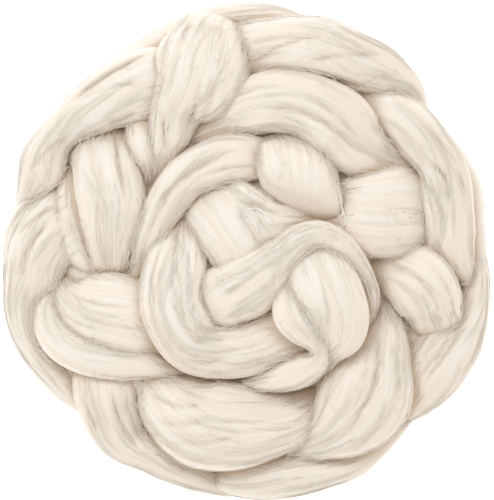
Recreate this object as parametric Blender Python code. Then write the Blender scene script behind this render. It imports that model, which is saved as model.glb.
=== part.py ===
"""Nest of wool roving: one length of combed wool top, chained by hand and coiled into a round bun.

The bun is one solid. Its surface is made of passes, the short stretches of the roving that come up
between two crossings. Each pass is lofted along its own line and swells in the middle, and all of
them are joined with the packed wool inside and pressed flat where the bun lies on a table.

Frame: +Z up, origin under the middle of the bun at table height. Tables are in millimetres.
"""

import math
from collections import namedtuple

import bmesh
import bpy
from mathutils import Vector

MM = 0.001

# Driving sizes of the bun.
RIM_RADIUS = 113.0  # outside of the outer coil
WOOL_COLOUR = (0.83, 0.74, 0.64, 1.0)
WOOL_ROUGHNESS = 0.75

# A pass is nearly round where it is narrow and flattened where it is broad.
DEPTH_AT_NO_WIDTH = 4.5
DEPTH_PER_HALF_WIDTH = 0.58
PRESSED_TOGETHER = 1.05  # share by which a pass reaches in under its neighbours
SECTION_SIDES = 18
SECTION_SQUARENESS = 2.5  # 2 is an ellipse
STEPS_PER_STATION = 5
PLUNGE_SHARE = 0.4  # share of a pass over which each end dives under its neighbour
END_CAP_RINGS = 2

# How the passes are joined into one skin.
VOXEL = 2.0
SMOOTH_ROUNDS = 2
KEPT_FACES_SHARE = 0.125

Pass = namedtuple("Pass", "name heights stations")
# heights: middle of the pass at its start, at its crest and at its end.
# stations: x, y and half width along the pass.
UPPER_PASSES = (
    # centre of the coil
    Pass("centre_ball", (45, 56, 44), (
        (27, -1, 9), (35, -24, 23), (40, -35, 20), (39, -46, 13), (35, -55, 6))),
    Pass("centre_s", (42, 54, 42), (
        (-21, -24, 6), (-15, -21, 11), (-3, -18, 15), (8, -9, 12),
        (31, 6, 7), (43, 5, 7), (52, -3, 6), (61, -25, 3))),
    Pass("centre_hook", (48, 49, 40), ((28, -43, 2), (33, -49, 5), (29, -56, 7), (4, -60, 2))),
    Pass("centre_lobe", (42, 50, 44), ((-18, 28, 8), (-15, 18, 13), (-9, 7, 15), (-4, -5, 12))),
    Pass("centre_lobe_fold", (46, 51, 46), ((-9, 31, 3), (10, 17, 8), (27, 15, 2))),
    # second coil
    Pass("arch_lobe", (40, 51, 38), ((15, 56, 8), (21, 34, 18), (22, 25, 19), (20, 17, 15))),
    Pass("arch_left", (42, 48, 38), (
        (8, 42, 9), (-7, 41, 11), (-21, 36, 12), (-32, 25, 11), (-46, 0, 8), (-50, -12, 3))),
    Pass("inner_left", (40, 48, 40), (
        (-31, 12, 5), (-32, 1, 12), (-34, -11, 15), (-34, -24, 14),
        (-28, -38, 12), (-16, -46, 11), (-2, -48, 11), (27, -38, 6))),
    Pass("inner_low_fold", (42, 45, 42), ((-40, -43, 3), (-30, -51, 5), (-1, -57, 5), (11, -52, 3))),
    Pass("arch_top", (36, 46, 34), (
        (-27, 50, 3), (2, 64, 13), (18, 66, 14), (35, 60, 16), (61, 42, 12), (68, 32, 8))),
    # outer coil
    Pass("ring_top_loop", (26, 44, 36), (
        (-13, 99, 12), (-21, 89, 22), (-24, 74, 21), (-39, 48, 14), (-43, 33, 4))),
    Pass("ring_top_left", (32, 37, 26), (
        (-34, 79, 14), (-46, 75, 16), (-71, 63, 14), (-91, 43, 11), (-103, 22, 3))),
    Pass("ring_left", (31, 41, 34), ((-67, 58, 11), (-64, 30, 17), (-65, 15, 18), (-63, -12, 10))),
    Pass("ring_left_fold", (33, 38, 33), ((-80, 35, 4), (-82, 21, 5), (-79, 8, 6), (-66, -13, 4))),
    Pass("ring_left_comb", (33, 40, 34), (
        (-80, -14, 3), (-71, -19, 9), (-57, -25, 12), (-43, -34, 11), (-31, -46, 7))),
    Pass("ring_left_low", (31, 38, 32), (
        (-86, -13, 3), (-87, -24, 10), (-79, -38, 15), (-62, -47, 14), (-26, -55, 2))),
    Pass("ring_bottom", (29, 38, 31), (
        (-43, -68, 8), (-36, -75, 15), (-22, -79, 19), (-5, -81, 18),
        (11, -78, 16), (23, -71, 12), (32, -62, 6))),
    Pass("ring_right_low", (34, 42, 31), (
        (62, -24, 3), (65, -36, 9), (55, -64, 20), (46, -77, 19), (35, -86, 12), (21, -91, 3))),
    Pass("ring_right_knob", (36, 42, 31), ((57, -10, 5), (78, -17, 15), (84, -26, 15), (84, -43, 7))),
    Pass("ring_right", (34, 44, 36), ((39, 21, 9), (49, 17, 17), (75, 19, 19), (84, 20, 12))),
    Pass("ring_right_sweep", (32, 40, 32), (
        (52, 70, 3), (62, 64, 8), (87, 41, 11), (96, -1, 10), (100, -12, 5))),
    Pass("ring_top_right", (31, 39, 27), (
        (-2, 82, 9), (8, 90, 14), (39, 91, 14), (68, 77, 10), (83, 64, 2))),
    Pass("ring_top_right_fold", (36, 38, 30), ((40, 82, 2), (51, 77, 4), (64, 74, 5), (83, 64, 2))),
    # lower strands that show past the outer coil
    Pass("rim_top", (15, 17, 15), ((-66, 84, 4), (-20, 105, 6), (11, 107, 7), (27, 102, 6))),
    Pass("rim_right_up", (20, 23, 20), ((83, 63, 3), (99, 34, 5), (106, 1, 6), (105, -14, 6))),
    Pass("rim_right", (16, 22, 18), (
        (105, -1, 7), (105, -17, 8), (101, -32, 11), (81, -56, 15), (68, -65, 15))),
    Pass("rim_bottom", (16, 20, 13), (
        (76, -76, 2), (48, -98, 9), (30, -103, 11), (-2, -105, 8), (-12, -104, 5))),
    Pass("rim_bottom_left", (24, 28, 16), (
        (-66, -51, 13), (-57, -77, 14), (-47, -89, 12), (-21, -106, 6), (-8, -110, 3))),
    Pass("rim_left", (25, 30, 20), (
        (-75, 20, 18), (-86, 12, 19), (-96, -1, 17), (-100, -33, 9), (-96, -47, 8), (-81, -73, 4))),
    Pass("rim_left_top", (31, 32, 25), ((-81, 35, 3), (-99, 20, 6), (-106, 11, 4))),
)

# Side of the bun: lobes of the lower coil that climb aslant, each over the start of the next.
SIDE_LOBES = 9
SIDE_LOBE_HALF_WIDTH = 14.0
SIDE_LOBE_SWEEP = math.radians(62)
SIDE_LOBE_HEIGHTS = (6, 16, 30)
SideStation = namedtuple("SideStation", "share inset width")
SIDE_LOBE = (
    SideStation(-0.5, 24, 0.5),
    SideStation(-0.25, 7, 0.9),
    SideStation(0, 0, 1),
    SideStation(0.25, 4, 0.85),
    SideStation(0.5, 18, 0.4),
)
SIDE_UNEVENNESS = 1.5

# Underside: the backs of the chain, in two rings and one lobe in the middle.
UnderRing = namedtuple("UnderRing", "lobes radius length slant half_width")
UNDER_RINGS = (
    UnderRing(10, 70.0, 76.0, math.radians(42), 16.0),
    UnderRing(5, 32.0, 58.0, math.radians(46), 15.0),
    UnderRing(1, 0.0, 40.0, 0.0, 15.0),
)
UNDER_LOBE_WIDTHS = (0.35, 0.85, 1.0, 0.85, 0.35)
UNDER_LOBE_HEIGHTS = (17, 11, 17)

# Packed wool inside: centre height, radius and half height of two flattened balls.
HEART_BALLS = ((25.0, 97.0, 12.0), (34.0, 72.0, 12.0))

# Block that trims the bun flat at table height.
CUTTER_SIDE = 400.0
CUTTER_DEPTH = 60.0


def blend_points(points, steps):
    """Smooth (Catmull-Rom) run of values through the given rows, ends included."""
    first = [2 * a - b for a, b in zip(points[0], points[1])]
    last = [2 * a - b for a, b in zip(points[-1], points[-2])]
    rows = [first, *points, last]
    run = []
    for a, b, c, d in zip(rows, rows[1:], rows[2:], rows[3:]):
        for step in range(steps):
            t = step / steps
            run.append([
                q + 0.5 * t * (r - p + t * (2 * p - 5 * q + 4 * r - s + t * (3 * (q - r) + s - p)))
                for p, q, r, s in zip(a, b, c, d)
            ])
    run.append(list(points[-1]))
    return run


def height_along(share, heights):
    """Height of a pass's middle: level at its crest, leaving it towards both ends."""
    start, crest, end = heights
    from_start = max(0.0, 1 - share / PLUNGE_SHARE) ** 2
    from_end = max(0.0, 1 - (1 - share) / PLUNGE_SHARE) ** 2
    return crest - (crest - start) * from_start - (crest - end) * from_end


def line_of_pass(heights, run):
    """Middle line of a pass in space, its height taken from the length gone so far."""
    gone = [0.0]
    for a, b in zip(run, run[1:]):
        gone.append(gone[-1] + math.dist(a[:2], b[:2]))
    return [Vector((x, y, height_along(far / gone[-1], heights))) for (x, y, _), far in zip(run, gone)]


def section(centre, along, half_width, half_depth):
    """One ring of points across a pass: flat-topped, upright, square to its line in plan."""
    across = Vector((-along.y, along.x, 0.0)).normalized()
    upward = along.cross(across).normalized()
    ring = []
    for side in range(SECTION_SIDES):
        angle = math.tau * side / SECTION_SIDES
        c, s = math.cos(angle), math.sin(angle)
        reach = (abs(c) ** SECTION_SQUARENESS + abs(s) ** SECTION_SQUARENESS) ** (-1 / SECTION_SQUARENESS)
        ring.append(centre + across * (reach * c * half_width) + upward * (reach * s * half_depth))
    return ring


def add_pass(bm, heights, stations):
    """Adds one closed pass to bm: rings along its line, rounded off at both ends."""
    run = blend_points(stations, STEPS_PER_STATION)
    centres = line_of_pass(heights, run)
    last = len(run) - 1
    rings = []
    for i, centre in enumerate(centres):
        along = (centres[min(i + 1, last)] - centres[max(i - 1, 0)]).normalized()
        half_width = max(run[i][2], 1.0)
        half_depth = DEPTH_AT_NO_WIDTH + DEPTH_PER_HALF_WIDTH * half_width
        caps = [0]
        if i == 0:
            caps = range(-END_CAP_RINGS, 1)
        elif i == last:
            caps = range(END_CAP_RINGS + 1)
        for cap in caps:
            turn = math.pi / 2 * cap / (END_CAP_RINGS + 1)
            shift = along * (math.sin(turn) * min(half_width, half_depth))
            shrink = math.cos(turn)
            rings.append(section(centre + shift, along, half_width * shrink, half_depth * shrink))
    verts = [[bm.verts.new(point * MM) for point in ring] for ring in rings]
    for lower, upper in zip(verts, verts[1:]):
        for side in range(SECTION_SIDES):
            other = (side + 1) % SECTION_SIDES
            bm.faces.new((lower[side], upper[side], upper[other], lower[other]))
    bm.faces.new(verts[0])
    bm.faces.new(reversed(verts[-1]))


def pressed(stations):
    """The stations a little broader, as the passes lie pressed against one another."""
    return [(x, y, half_width * PRESSED_TOGETHER) for x, y, half_width in stations]


def side_lobe_stations(index):
    """Stations of one lobe of the lower coil, out from under its neighbour, round and back in."""
    middle = math.tau * index / SIDE_LOBES
    belly = RIM_RADIUS - SIDE_LOBE_HALF_WIDTH + SIDE_UNEVENNESS * (math.sin(2.4 * index) - 1)
    stations = []
    for share, inset, width in SIDE_LOBE:
        angle = middle + share * SIDE_LOBE_SWEEP
        radius = belly - inset
        stations.append((radius * math.cos(angle), radius * math.sin(angle), width * SIDE_LOBE_HALF_WIDTH))
    return stations


def under_lobe_stations(ring, index):
    """Stations of one lobe of the underside, lying aslant across its ring."""
    middle = math.tau * (index + 0.2 * math.sin(1.7 * index)) / ring.lobes
    last = len(UNDER_LOBE_WIDTHS) - 1
    stations = []
    for i, width in enumerate(UNDER_LOBE_WIDTHS):
        along = (i / last - 0.5) * ring.length
        out = ring.radius + along * math.sin(ring.slant)
        aside = along * math.cos(ring.slant)
        stations.append((
            out * math.cos(middle) - aside * math.sin(middle),
            out * math.sin(middle) + aside * math.cos(middle),
            width * ring.half_width,
        ))
    return stations


def add_heart(bm):
    """Packed wool inside the coils, so that the joined skin holds no sealed gap."""
    for height, radius, half_height in HEART_BALLS:
        made = bmesh.ops.create_icosphere(bm, subdivisions=4, radius=1.0)
        for vert in made["verts"]:
            vert.co = Vector((vert.co.x * radius, vert.co.y * radius, height + vert.co.z * half_height)) * MM


def wool_material():
    material = bpy.data.materials.new("wool_top")
    material.use_nodes = True
    shader = material.node_tree.nodes["Principled BSDF"]
    shader.inputs["Base Color"].default_value = WOOL_COLOUR
    shader.inputs["Roughness"].default_value = WOOL_ROUGHNESS
    shader.inputs["Metallic"].default_value = 0.0
    return material


def new_object(name, bm):
    mesh = bpy.data.meshes.new(name)
    bm.to_mesh(mesh)
    bm.free()
    made = bpy.data.objects.new(name, mesh)
    bpy.context.scene.collection.objects.link(made)
    return made


def table_cutter():
    """Block below table height, which trims the bun flat where it lies."""
    bm = bmesh.new()
    bmesh.ops.create_cube(bm, size=1.0)
    for vert in bm.verts:
        x, y, z = vert.co
        vert.co = Vector((x * CUTTER_SIDE, y * CUTTER_SIDE, (z - 0.5) * CUTTER_DEPTH)) * MM
    cutter = new_object("table_cutter", bm)
    cutter.hide_render = True
    cutter.display_type = "WIRE"
    return cutter


def build_nest():
    bm = bmesh.new()
    for row in UPPER_PASSES:
        add_pass(bm, row.heights, pressed(row.stations))
    for index in range(SIDE_LOBES):
        add_pass(bm, SIDE_LOBE_HEIGHTS, side_lobe_stations(index))
    for ring in UNDER_RINGS:
        for index in range(ring.lobes):
            add_pass(bm, UNDER_LOBE_HEIGHTS, under_lobe_stations(ring, index))
    add_heart(bm)
    bmesh.ops.recalc_face_normals(bm, faces=bm.faces)
    nest = new_object("roving_nest", bm)
    nest.data.materials.append(wool_material())

    skin = nest.modifiers.new("join_passes", "REMESH")
    skin.mode = "VOXEL"
    skin.voxel_size = VOXEL * MM
    skin.use_smooth_shade = True
    ease = nest.modifiers.new("ease_creases", "SMOOTH")
    ease.factor = 0.5
    ease.iterations = SMOOTH_ROUNDS
    thin = nest.modifiers.new("fewer_faces", "DECIMATE")
    thin.ratio = KEPT_FACES_SHARE
    flat = nest.modifiers.new("lie_flat", "BOOLEAN")
    flat.operation = "DIFFERENCE"
    flat.object = table_cutter()
    return nest


def main():
    for old in list(bpy.data.objects):
        bpy.data.objects.remove(old)
    build_nest()


main()
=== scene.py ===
"""Looks of a nest of wool roving: the chained, coiled wool in its fine form, its fibres and its stage.

Every pass of the roving is lofted along the line that its solid follows, with locks and folds raised
along the fibres, and single fibres are laid on it. Shade is painted into the wool's colour in its folds,
splits, valleys and hollows; dark fibres lie in the creases as painted shadow, and the loose strands are
painted paler as highlight. Tables are in millimetres, meshes in metres.
"""

import math
from collections import namedtuple
from functools import partial

import bpy
import numpy as np
from bpy.props import FloatProperty, FloatVectorProperty, IntProperty, PointerProperty
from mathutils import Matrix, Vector


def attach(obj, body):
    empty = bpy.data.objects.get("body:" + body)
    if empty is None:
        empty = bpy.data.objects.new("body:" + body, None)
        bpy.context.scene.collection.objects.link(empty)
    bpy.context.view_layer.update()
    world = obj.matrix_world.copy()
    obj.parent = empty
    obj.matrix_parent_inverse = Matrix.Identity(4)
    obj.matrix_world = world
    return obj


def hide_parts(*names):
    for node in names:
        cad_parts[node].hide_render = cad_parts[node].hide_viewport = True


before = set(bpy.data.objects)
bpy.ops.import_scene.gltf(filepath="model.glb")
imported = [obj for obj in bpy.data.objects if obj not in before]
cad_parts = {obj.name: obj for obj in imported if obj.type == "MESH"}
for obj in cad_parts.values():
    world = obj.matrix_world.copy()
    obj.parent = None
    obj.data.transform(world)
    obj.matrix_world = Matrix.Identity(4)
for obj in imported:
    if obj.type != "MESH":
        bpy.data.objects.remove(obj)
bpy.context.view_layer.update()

bl_info = {
    "name": "Wool roving nest",
    "version": (1, 0, 0),
    "blender": (4, 5, 0),
    "location": "3D View > Sidebar > Roving",
    "description": "Dresses a coiled nest of combed wool roving and sets up its stage",
    "category": "Object",
}

MM = 0.001
NODE = "roving_nest"
BODY = "root"

# Sizes that the passes share with their solid.
DEPTH_AT_NO_WIDTH = 4.5
DEPTH_PER_HALF_WIDTH = 0.58
LEAST_HALF_WIDTH = 1.0
SECTION_SQUARENESS = 2.5
END_SQUARENESS = 2.8
PLUNGE_SHARE = 0.4
CROWN_SHARE = 0.68  # height of a pass's crown over its widest line, as a share of its half depth

# The passes. twist: turns that the fibres make round the pass from its start to its end.
# stations: x, y and z of the pass's middle line, and its half width there.
# roll: degrees by which its left side, looking along it, is turned down.
# yaw: degrees by which its end is turned in plan, anticlockwise.
# blunt: squareness of its ends in plan.
Pass = namedtuple(
    "Pass", "name twist stations roll yaw crown blunt", defaults=(0, 0, CROWN_SHARE, END_SQUARENESS))
CENTRE_COIL = (
    Pass("ball_outer", -0.06, (
        (25, 4, 46, 9), (30.5, -8.5, 55, 13.8), (36.5, -20, 59, 16.2), (40.3, -30, 58.5, 15.6),
        (41, -38.8, 56.5, 12.4), (37.8, -46, 52, 6.8), (35, -53, 45, 3.4))),
    Pass("ball_strand", 0.10, (
        (18.5, -13, 52, 3.5), (18.8, -21.5, 58.5, 6.2), (20.4, -28.8, 62, 8.6), (25.2, -35.2, 62, 8),
        (30.8, -40.6, 60, 5.6), (33.4, -46, 57.5, 4.4), (31.6, -51, 54.5, 5.8), (25.4, -55, 50.5, 7.4),
        (16.8, -58, 47, 6.8), (8, -59.8, 43, 4.6), (0, -60.5, 39, 2.2))),
    Pass("centre_s", 0.05, (
        (-9.6, -20.6, 50, 14.6), (1.8, -15, 53, 15), (10.4, -8, 55, 12.3), (16.8, -1.8, 57, 9),
        (24.3, 4.7, 58, 7.8), (31.5, 7.3, 59, 6.6), (38.5, 5.6, 59, 5.8), (45.4, 0.6, 58, 5.4),
        (51.3, -7.5, 55, 4.7), (55.2, -14, 52, 3.6), (56.8, -19.5, 50, 3.8), (57, -26.5, 47, 2.8),
        (55.4, -33, 43, 1.6)), blunt=2.0),
    Pass("centre_lobe", 0.03, (
        (-27, 37, 18, 10), (-19, 27, 33, 14), (-11, 16, 47, 15.4), (-3, 2.3, 49, 16.4),
        (3.2, -10, 41, 12.5))),
    Pass("centre_web", 0.02, (
        (-14, 30, 34, 5), (-4, 21.5, 45, 10), (8, 12.5, 50.5, 11.4), (20, 12.5, 48, 7.6),
        (30, 15.5, 41, 3))),
    Pass("centre_lobe_fold", 0.05, (
        (-11, 33, 42, 3), (-5, 28.5, 48, 4), (2.4, 23.8, 51.5, 4.4), (11.7, 19, 51.5, 3),
        (22, 16.2, 48, 1.6))),
)
SECOND_COIL = (
    Pass("arch_lobe", 0.02, (
        (13, 60, 12, 9), (16, 53, 23, 13), (19.8, 46.5, 33, 17), (22.8, 40.5, 41.5, 19.6),
        (23.8, 34.5, 48, 21)), roll=6, yaw=-21, crown=0.82, blunt=4.5),
    Pass("arch_left", 0.05, (
        (13, 41.5, 38, 8), (0, 41.6, 45, 11), (-10, 40.8, 47, 12), (-18.7, 37.6, 48, 11.6),
        (-27.5, 32.8, 48, 10.5), (-34.2, 25.5, 47, 9.6), (-39.5, 17, 46, 8.8), (-44, 7, 44, 7.3),
        (-47.8, -2.2, 40, 5.2), (-51, -11, 35, 2.4))),
    Pass("inner_left", -0.05, (
        (-29, 15, 34, 7), (-30.5, 5, 40, 10), (-33, -5, 44, 13), (-35, -16, 46, 14.2),
        (-35.2, -26, 47, 13.8), (-31, -37, 47, 12.8), (-24.8, -43.7, 46, 12.2), (-15, -45.8, 45, 12.8),
        (-3.5, -45.6, 45, 13.2), (7.5, -41.8, 45, 12.6), (18, -39, 44, 12.4), (29, -37.5, 40, 10))),
    Pass("inner_left_core", 0.04, (
        (-27, 13, 40, 4), (-25.8, 2, 47, 7), (-26, -9.5, 50, 8), (-27, -21, 51, 6.9),
        (-24, -30.4, 50.5, 7), (-17.8, -37.6, 47.5, 5.6), (-11, -42, 42, 2.6))),
    Pass("arch_top", -0.06, (
        (-26, 51.5, 35, 5), (-13.5, 58.5, 38.5, 9.8), (-1, 64, 41, 12.8), (15, 67, 43, 14.4),
        (28.5, 65, 44, 15.2), (41, 57, 43, 17.3), (51, 46.8, 41, 14), (62.6, 40.6, 36, 9.4),
        (71.2, 37.8, 32, 5.6), (77, 36, 28, 3))),
)
OUTER_COIL_LEFT = (
    Pass("ring_top_loop", 0.05, (
        (-15.8, 95, 28, 18.8), (-20.6, 84.5, 37, 22), (-25.2, 73.5, 42, 19.5), (-32.6, 62.6, 43, 12.8),
        (-36, 50.7, 42, 9.3), (-38.9, 41, 39, 6), (-43, 31, 33, 2.4)), blunt=2.1),
    Pass("ring_top_loop_lock", 0.02, (
        (-46, 75, 22, 4), (-49, 63, 32, 5.6), (-49.3, 53, 38, 6.6), (-47.3, 44.6, 39.5, 6.4),
        (-45.6, 37, 37, 4.8), (-45.2, 29.5, 32, 2))),
    Pass("ring_top_left", 0.08, (
        (-34, 78, 33, 14), (-45, 76.5, 36, 16), (-57, 72, 37, 15.5), (-68.5, 66.5, 37, 13.2),
        (-78.5, 60.3, 36, 10.4), (-87, 52, 35, 9.2), (-92.5, 43.5, 34, 10.2), (-95.5, 35, 33, 9.6),
        (-99.5, 28, 30, 6.2), (-103.5, 22, 25, 2.8))),
    Pass("ring_left", 0.04, (
        (-67, 65, 12, 10), (-66.6, 52, 24, 13.6), (-65, 39, 37, 15.4), (-62, 26, 41, 16.2),
        (-62.3, 14, 41, 14.4), (-62.5, 5, 39, 12), (-62.5, -1.5, 36, 10.4))),
    Pass("ring_left_fold", 0.0, (
        (-82, 37, 29, 2.5), (-82, 28, 33, 5.2), (-81.6, 18, 34, 6.4), (-79.8, 8, 34, 6.8),
        (-76.5, -0.5, 34, 6.4), (-71.5, -6, 32.5, 5), (-65, -9.5, 30, 3))),
    Pass("ring_left_comb", 0.02, (
        (-86, -14, 25, 4), (-81, -22, 28.5, 12), (-71, -27.4, 31.5, 17.6), (-58.5, -29.6, 33, 19.4),
        (-46, -33, 32, 18.4), (-36, -37.5, 29, 13))),
    Pass("ring_left_low", 0.06, (
        (-86, -14, 26, 3), (-91.3, -24, 30, 5), (-90.3, -34, 33, 7.2), (-84.5, -42.5, 35, 8.4),
        (-75, -48, 36, 8.8), (-64, -50.3, 36, 8.6), (-53, -51.8, 36, 7.8), (-44, -53.3, 36, 5.8),
        (-36, -54.8, 35, 3.2), (-29, -55.8, 32, 1.5))),
    Pass("ring_bottom", -0.03, (
        (-42.5, -61.5, 29, 9.5), (-34.5, -70.5, 32.5, 15.6), (-20.5, -78.8, 35, 20),
        (-5, -80.4, 36, 19.8), (10, -79.8, 35, 16.4), (22, -77, 33, 12.8), (34, -70, 29, 8))),
)
OUTER_COIL_RIGHT = (
    Pass("ring_right_low", 0.05, (
        (62, -22, 33, 2), (63.5, -31, 37, 6.6), (63, -40, 40, 11.2), (60.5, -50, 41, 16.2),
        (56.5, -61, 41, 19.8), (50.5, -71.5, 39, 20.4), (42, -80.5, 36, 16.4), (31.5, -87.5, 33, 9.4),
        (20, -92, 29, 3))),
    Pass("ring_right_knob", 0.05, (
        (57, -2, 29, 8), (68, -8, 36, 12.8), (77.5, -14.5, 40, 15.6), (83.5, -22.3, 39, 15),
        (85.5, -28, 36, 12.8))),
    Pass("ring_right", 0.0, (
        (39, 20, 36, 12), (50, 17.4, 43, 17.4), (59, 16.6, 45, 19.6), (67, 17, 41, 20),
        (76, 18, 26, 20)), blunt=4),
    Pass("ring_right_sweep", -0.06, (
        (52, 71, 29, 4), (60.5, 66.5, 34, 9.4), (68.5, 61, 36, 11.2), (78, 52.8, 37, 12),
        (87, 42, 37, 10.8), (91.6, 30.5, 36, 11.8), (93.8, 16, 35, 11.4), (94.6, 4, 34, 10.8),
        (98, -6, 32, 7), (100, -13, 28, 3))),
    Pass("sweep_inner_lock", 0.0, (
        (80.5, 38, 32, 2), (82, 30, 38, 3.2), (85, 18, 40, 4.4), (86, 6, 38, 4.4), (84, -3, 34, 3))),
    Pass("ring_top_right", -0.08, (
        (-11, 92, 20, 12.6), (3, 91, 28, 13.6), (13, 93, 36, 13.3), (23, 94, 41, 13.2),
        (35, 92.8, 42, 13.4), (48, 88.6, 41, 12.2), (60, 83.3, 38, 11), (70, 77.5, 35, 7.6),
        (77, 72.2, 31, 4.6), (80.8, 67, 27, 2))),
    Pass("ring_top_right_fold", 0.0, (
        (42, 80, 39, 2.5), (52, 76.8, 39, 4), (64, 76, 37, 4.2), (74, 71.5, 33, 3.2),
        (81, 66.5, 28, 1.5))),
)
RIM = (
    Pass("rim_top", 0.04, (
        (-66, 80.5, 21, 2.5), (-55, 88.3, 24, 4.2), (-44, 94.8, 25, 4.6), (-33, 101.2, 24, 4.7),
        (-20, 106.6, 22, 4.7), (-8, 108.4, 21, 5.2), (4, 109.2, 21, 5.2), (15, 109.2, 21, 3.9),
        (24, 106.6, 20, 3), (31, 103.6, 18, 2))),
    Pass("rim_right_up", 0.04, (
        (83, 62, 17, 2), (90.5, 52, 21, 3), (97.5, 41.5, 23, 4), (102.5, 30, 24, 4.8), (104.8, 15, 24, 5),
        (105.5, 0, 22, 5), (106, -12, 19, 4))),
    Pass("rim_right", 0.06, (
        (104, 2, 18, 5), (105, -10, 22, 6.5), (105, -20, 25, 6.8), (102, -29.6, 27, 9),
        (96.2, -38.2, 28, 12.6), (89.6, -47, 29.5, 15), (83, -57, 29, 15.2), (77, -67, 25, 11),
        (71.5, -74.5, 19, 6))),
    Pass("rim_right_inner", 0.02, (
        (84, -29, 26, 3), (80, -35.5, 28.5, 6), (77, -43, 29, 7), (75, -52, 27, 5), (74, -60, 22, 3))),
    Pass("rim_bottom", 0.05, (
        (74, -79, 18, 2), (61, -90, 22, 5), (47.5, -98, 25, 7.8), (30, -102, 26, 9.8),
        (10, -105, 25, 9.8), (-5, -106.2, 22, 7), (-14, -106, 17, 4))),
    Pass("rim_bottom_left", -0.04, (
        (-67.2, -53, 22, 14.6), (-65.4, -66, 26, 16.8), (-61.6, -77, 26, 15), (-55.5, -87.5, 25, 12),
        (-46, -93.5, 25, 9), (-34, -99.5, 23, 8), (-22, -105, 20, 6.6), (-9, -111, 16, 3))),
    Pass("rim_left", 0.08, (
        (-76, 23, 24, 14), (-86, 12, 28, 16), (-95.5, 0, 29, 15.8), (-99.2, -12, 28, 13.2),
        (-102.3, -24, 26, 9.8), (-101.3, -36, 25, 8), (-96.5, -47, 24, 7.2), (-90, -56.5, 22, 7),
        (-83, -65, 20, 6), (-78.5, -70.5, 17, 3.4))),
    Pass("rim_left_top", 0.03, (
        (-83, 33, 26, 4), (-93, 23.5, 28, 6.8), (-102, 14.3, 27, 6.2), (-107.6, 5, 24, 4.6),
        (-110, -5, 20, 2.5))),
)
COILS = {
    "centre_coil": CENTRE_COIL,
    "second_coil": SECOND_COIL,
    "outer_coil_left": OUTER_COIL_LEFT,
    "outer_coil_right": OUTER_COIL_RIGHT,
    "rim_strands": RIM,
}
FIBRE_PIECES = {
    "inner_fibres": ("centre_coil", "second_coil"),
    "outer_fibres": ("outer_coil_left", "outer_coil_right"),
    "rim_fibres": ("rim_strands", "side_lobes"),
}

# Side of the bun: lobes of the lower coil that climb aslant, each over the start of the next.
SIDE_RADII = (109.0, 104.0, 109.5, 104.5, 106.0, 109.5, 106.0, 109.5, 105.0)
SIDE_LOBE_HALF_WIDTH = 14.0
SIDE_LOBE_SWEEP = math.radians(62)
SIDE_LOBE_HEIGHTS = (6, 16, 30)  # at its start, its crest and its end
SIDE_TWIST = 0.05
# the side lobes keep only a share of the shade painted into hollows
SIDE_SHADE = 0.25  # share that the lobes keep of the shade that hollows give them
SIDE_SEED = 500
SideStation = namedtuple("SideStation", "share inset width")
SIDE_LOBE = (
    SideStation(-0.5, 24, 0.5),
    SideStation(-0.25, 7, 0.9),
    SideStation(0, 0, 1),
    SideStation(0.25, 4, 0.85),
    SideStation(0.5, 18, 0.4),
)

# Underside: the backs of the chain, in two rings and one lobe in the middle.
UnderRing = namedtuple("UnderRing", "lobes radius length slant half_width")
UNDER_RINGS = (
    UnderRing(10, 70.0, 76.0, math.radians(42), 16.0),
    UnderRing(5, 32.0, 58.0, math.radians(46), 15.0),
    UnderRing(1, 0.0, 40.0, 0.0, 15.0),
)
UNDER_LOBE_WIDTHS = (0.35, 0.85, 1.0, 0.85, 0.35)
UNDER_LOBE_HEIGHTS = (17, 11, 17)
UNDER_TWIST = 0.04
UNDER_SEED = 700
UNEVEN_TURNS = (0.2, 1.7)  # how far the lobes stray round their ring, and how fast that changes
FLAT_STEP = 0.06  # each lobe's flat lies this much above the one before, so no two share a plane
SIDE_FLATS = 20  # flats of the side come this many steps up, over those of the underside

# Packed wool inside: flattened balls low in the nest, and a bed that comes up between the passes
# wherever the gap between them is narrow.
Ball = namedtuple("Ball", "height radius half_height")
HEART_BALLS = (Ball(14.0, 104.0, 8.0), Ball(24.0, 97.0, 11.0), Ball(31.0, 72.0, 10.0))
BALL_ROWS = 38
BALL_COLUMNS = 90
BED_RADIUS = 94.0
BED_PITCH = 1.25
BED_FLOOR = 12.0
BED_GAP = 3.0  # half the widest gap that the bed fills
BED_INSET = 1.5  # how far the bed stays inside the edges of the passes
BED_SOFTNESS = 1.0
BED_DEPTH = 9.0  # how far under the brink of a gap the bed lies

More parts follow.
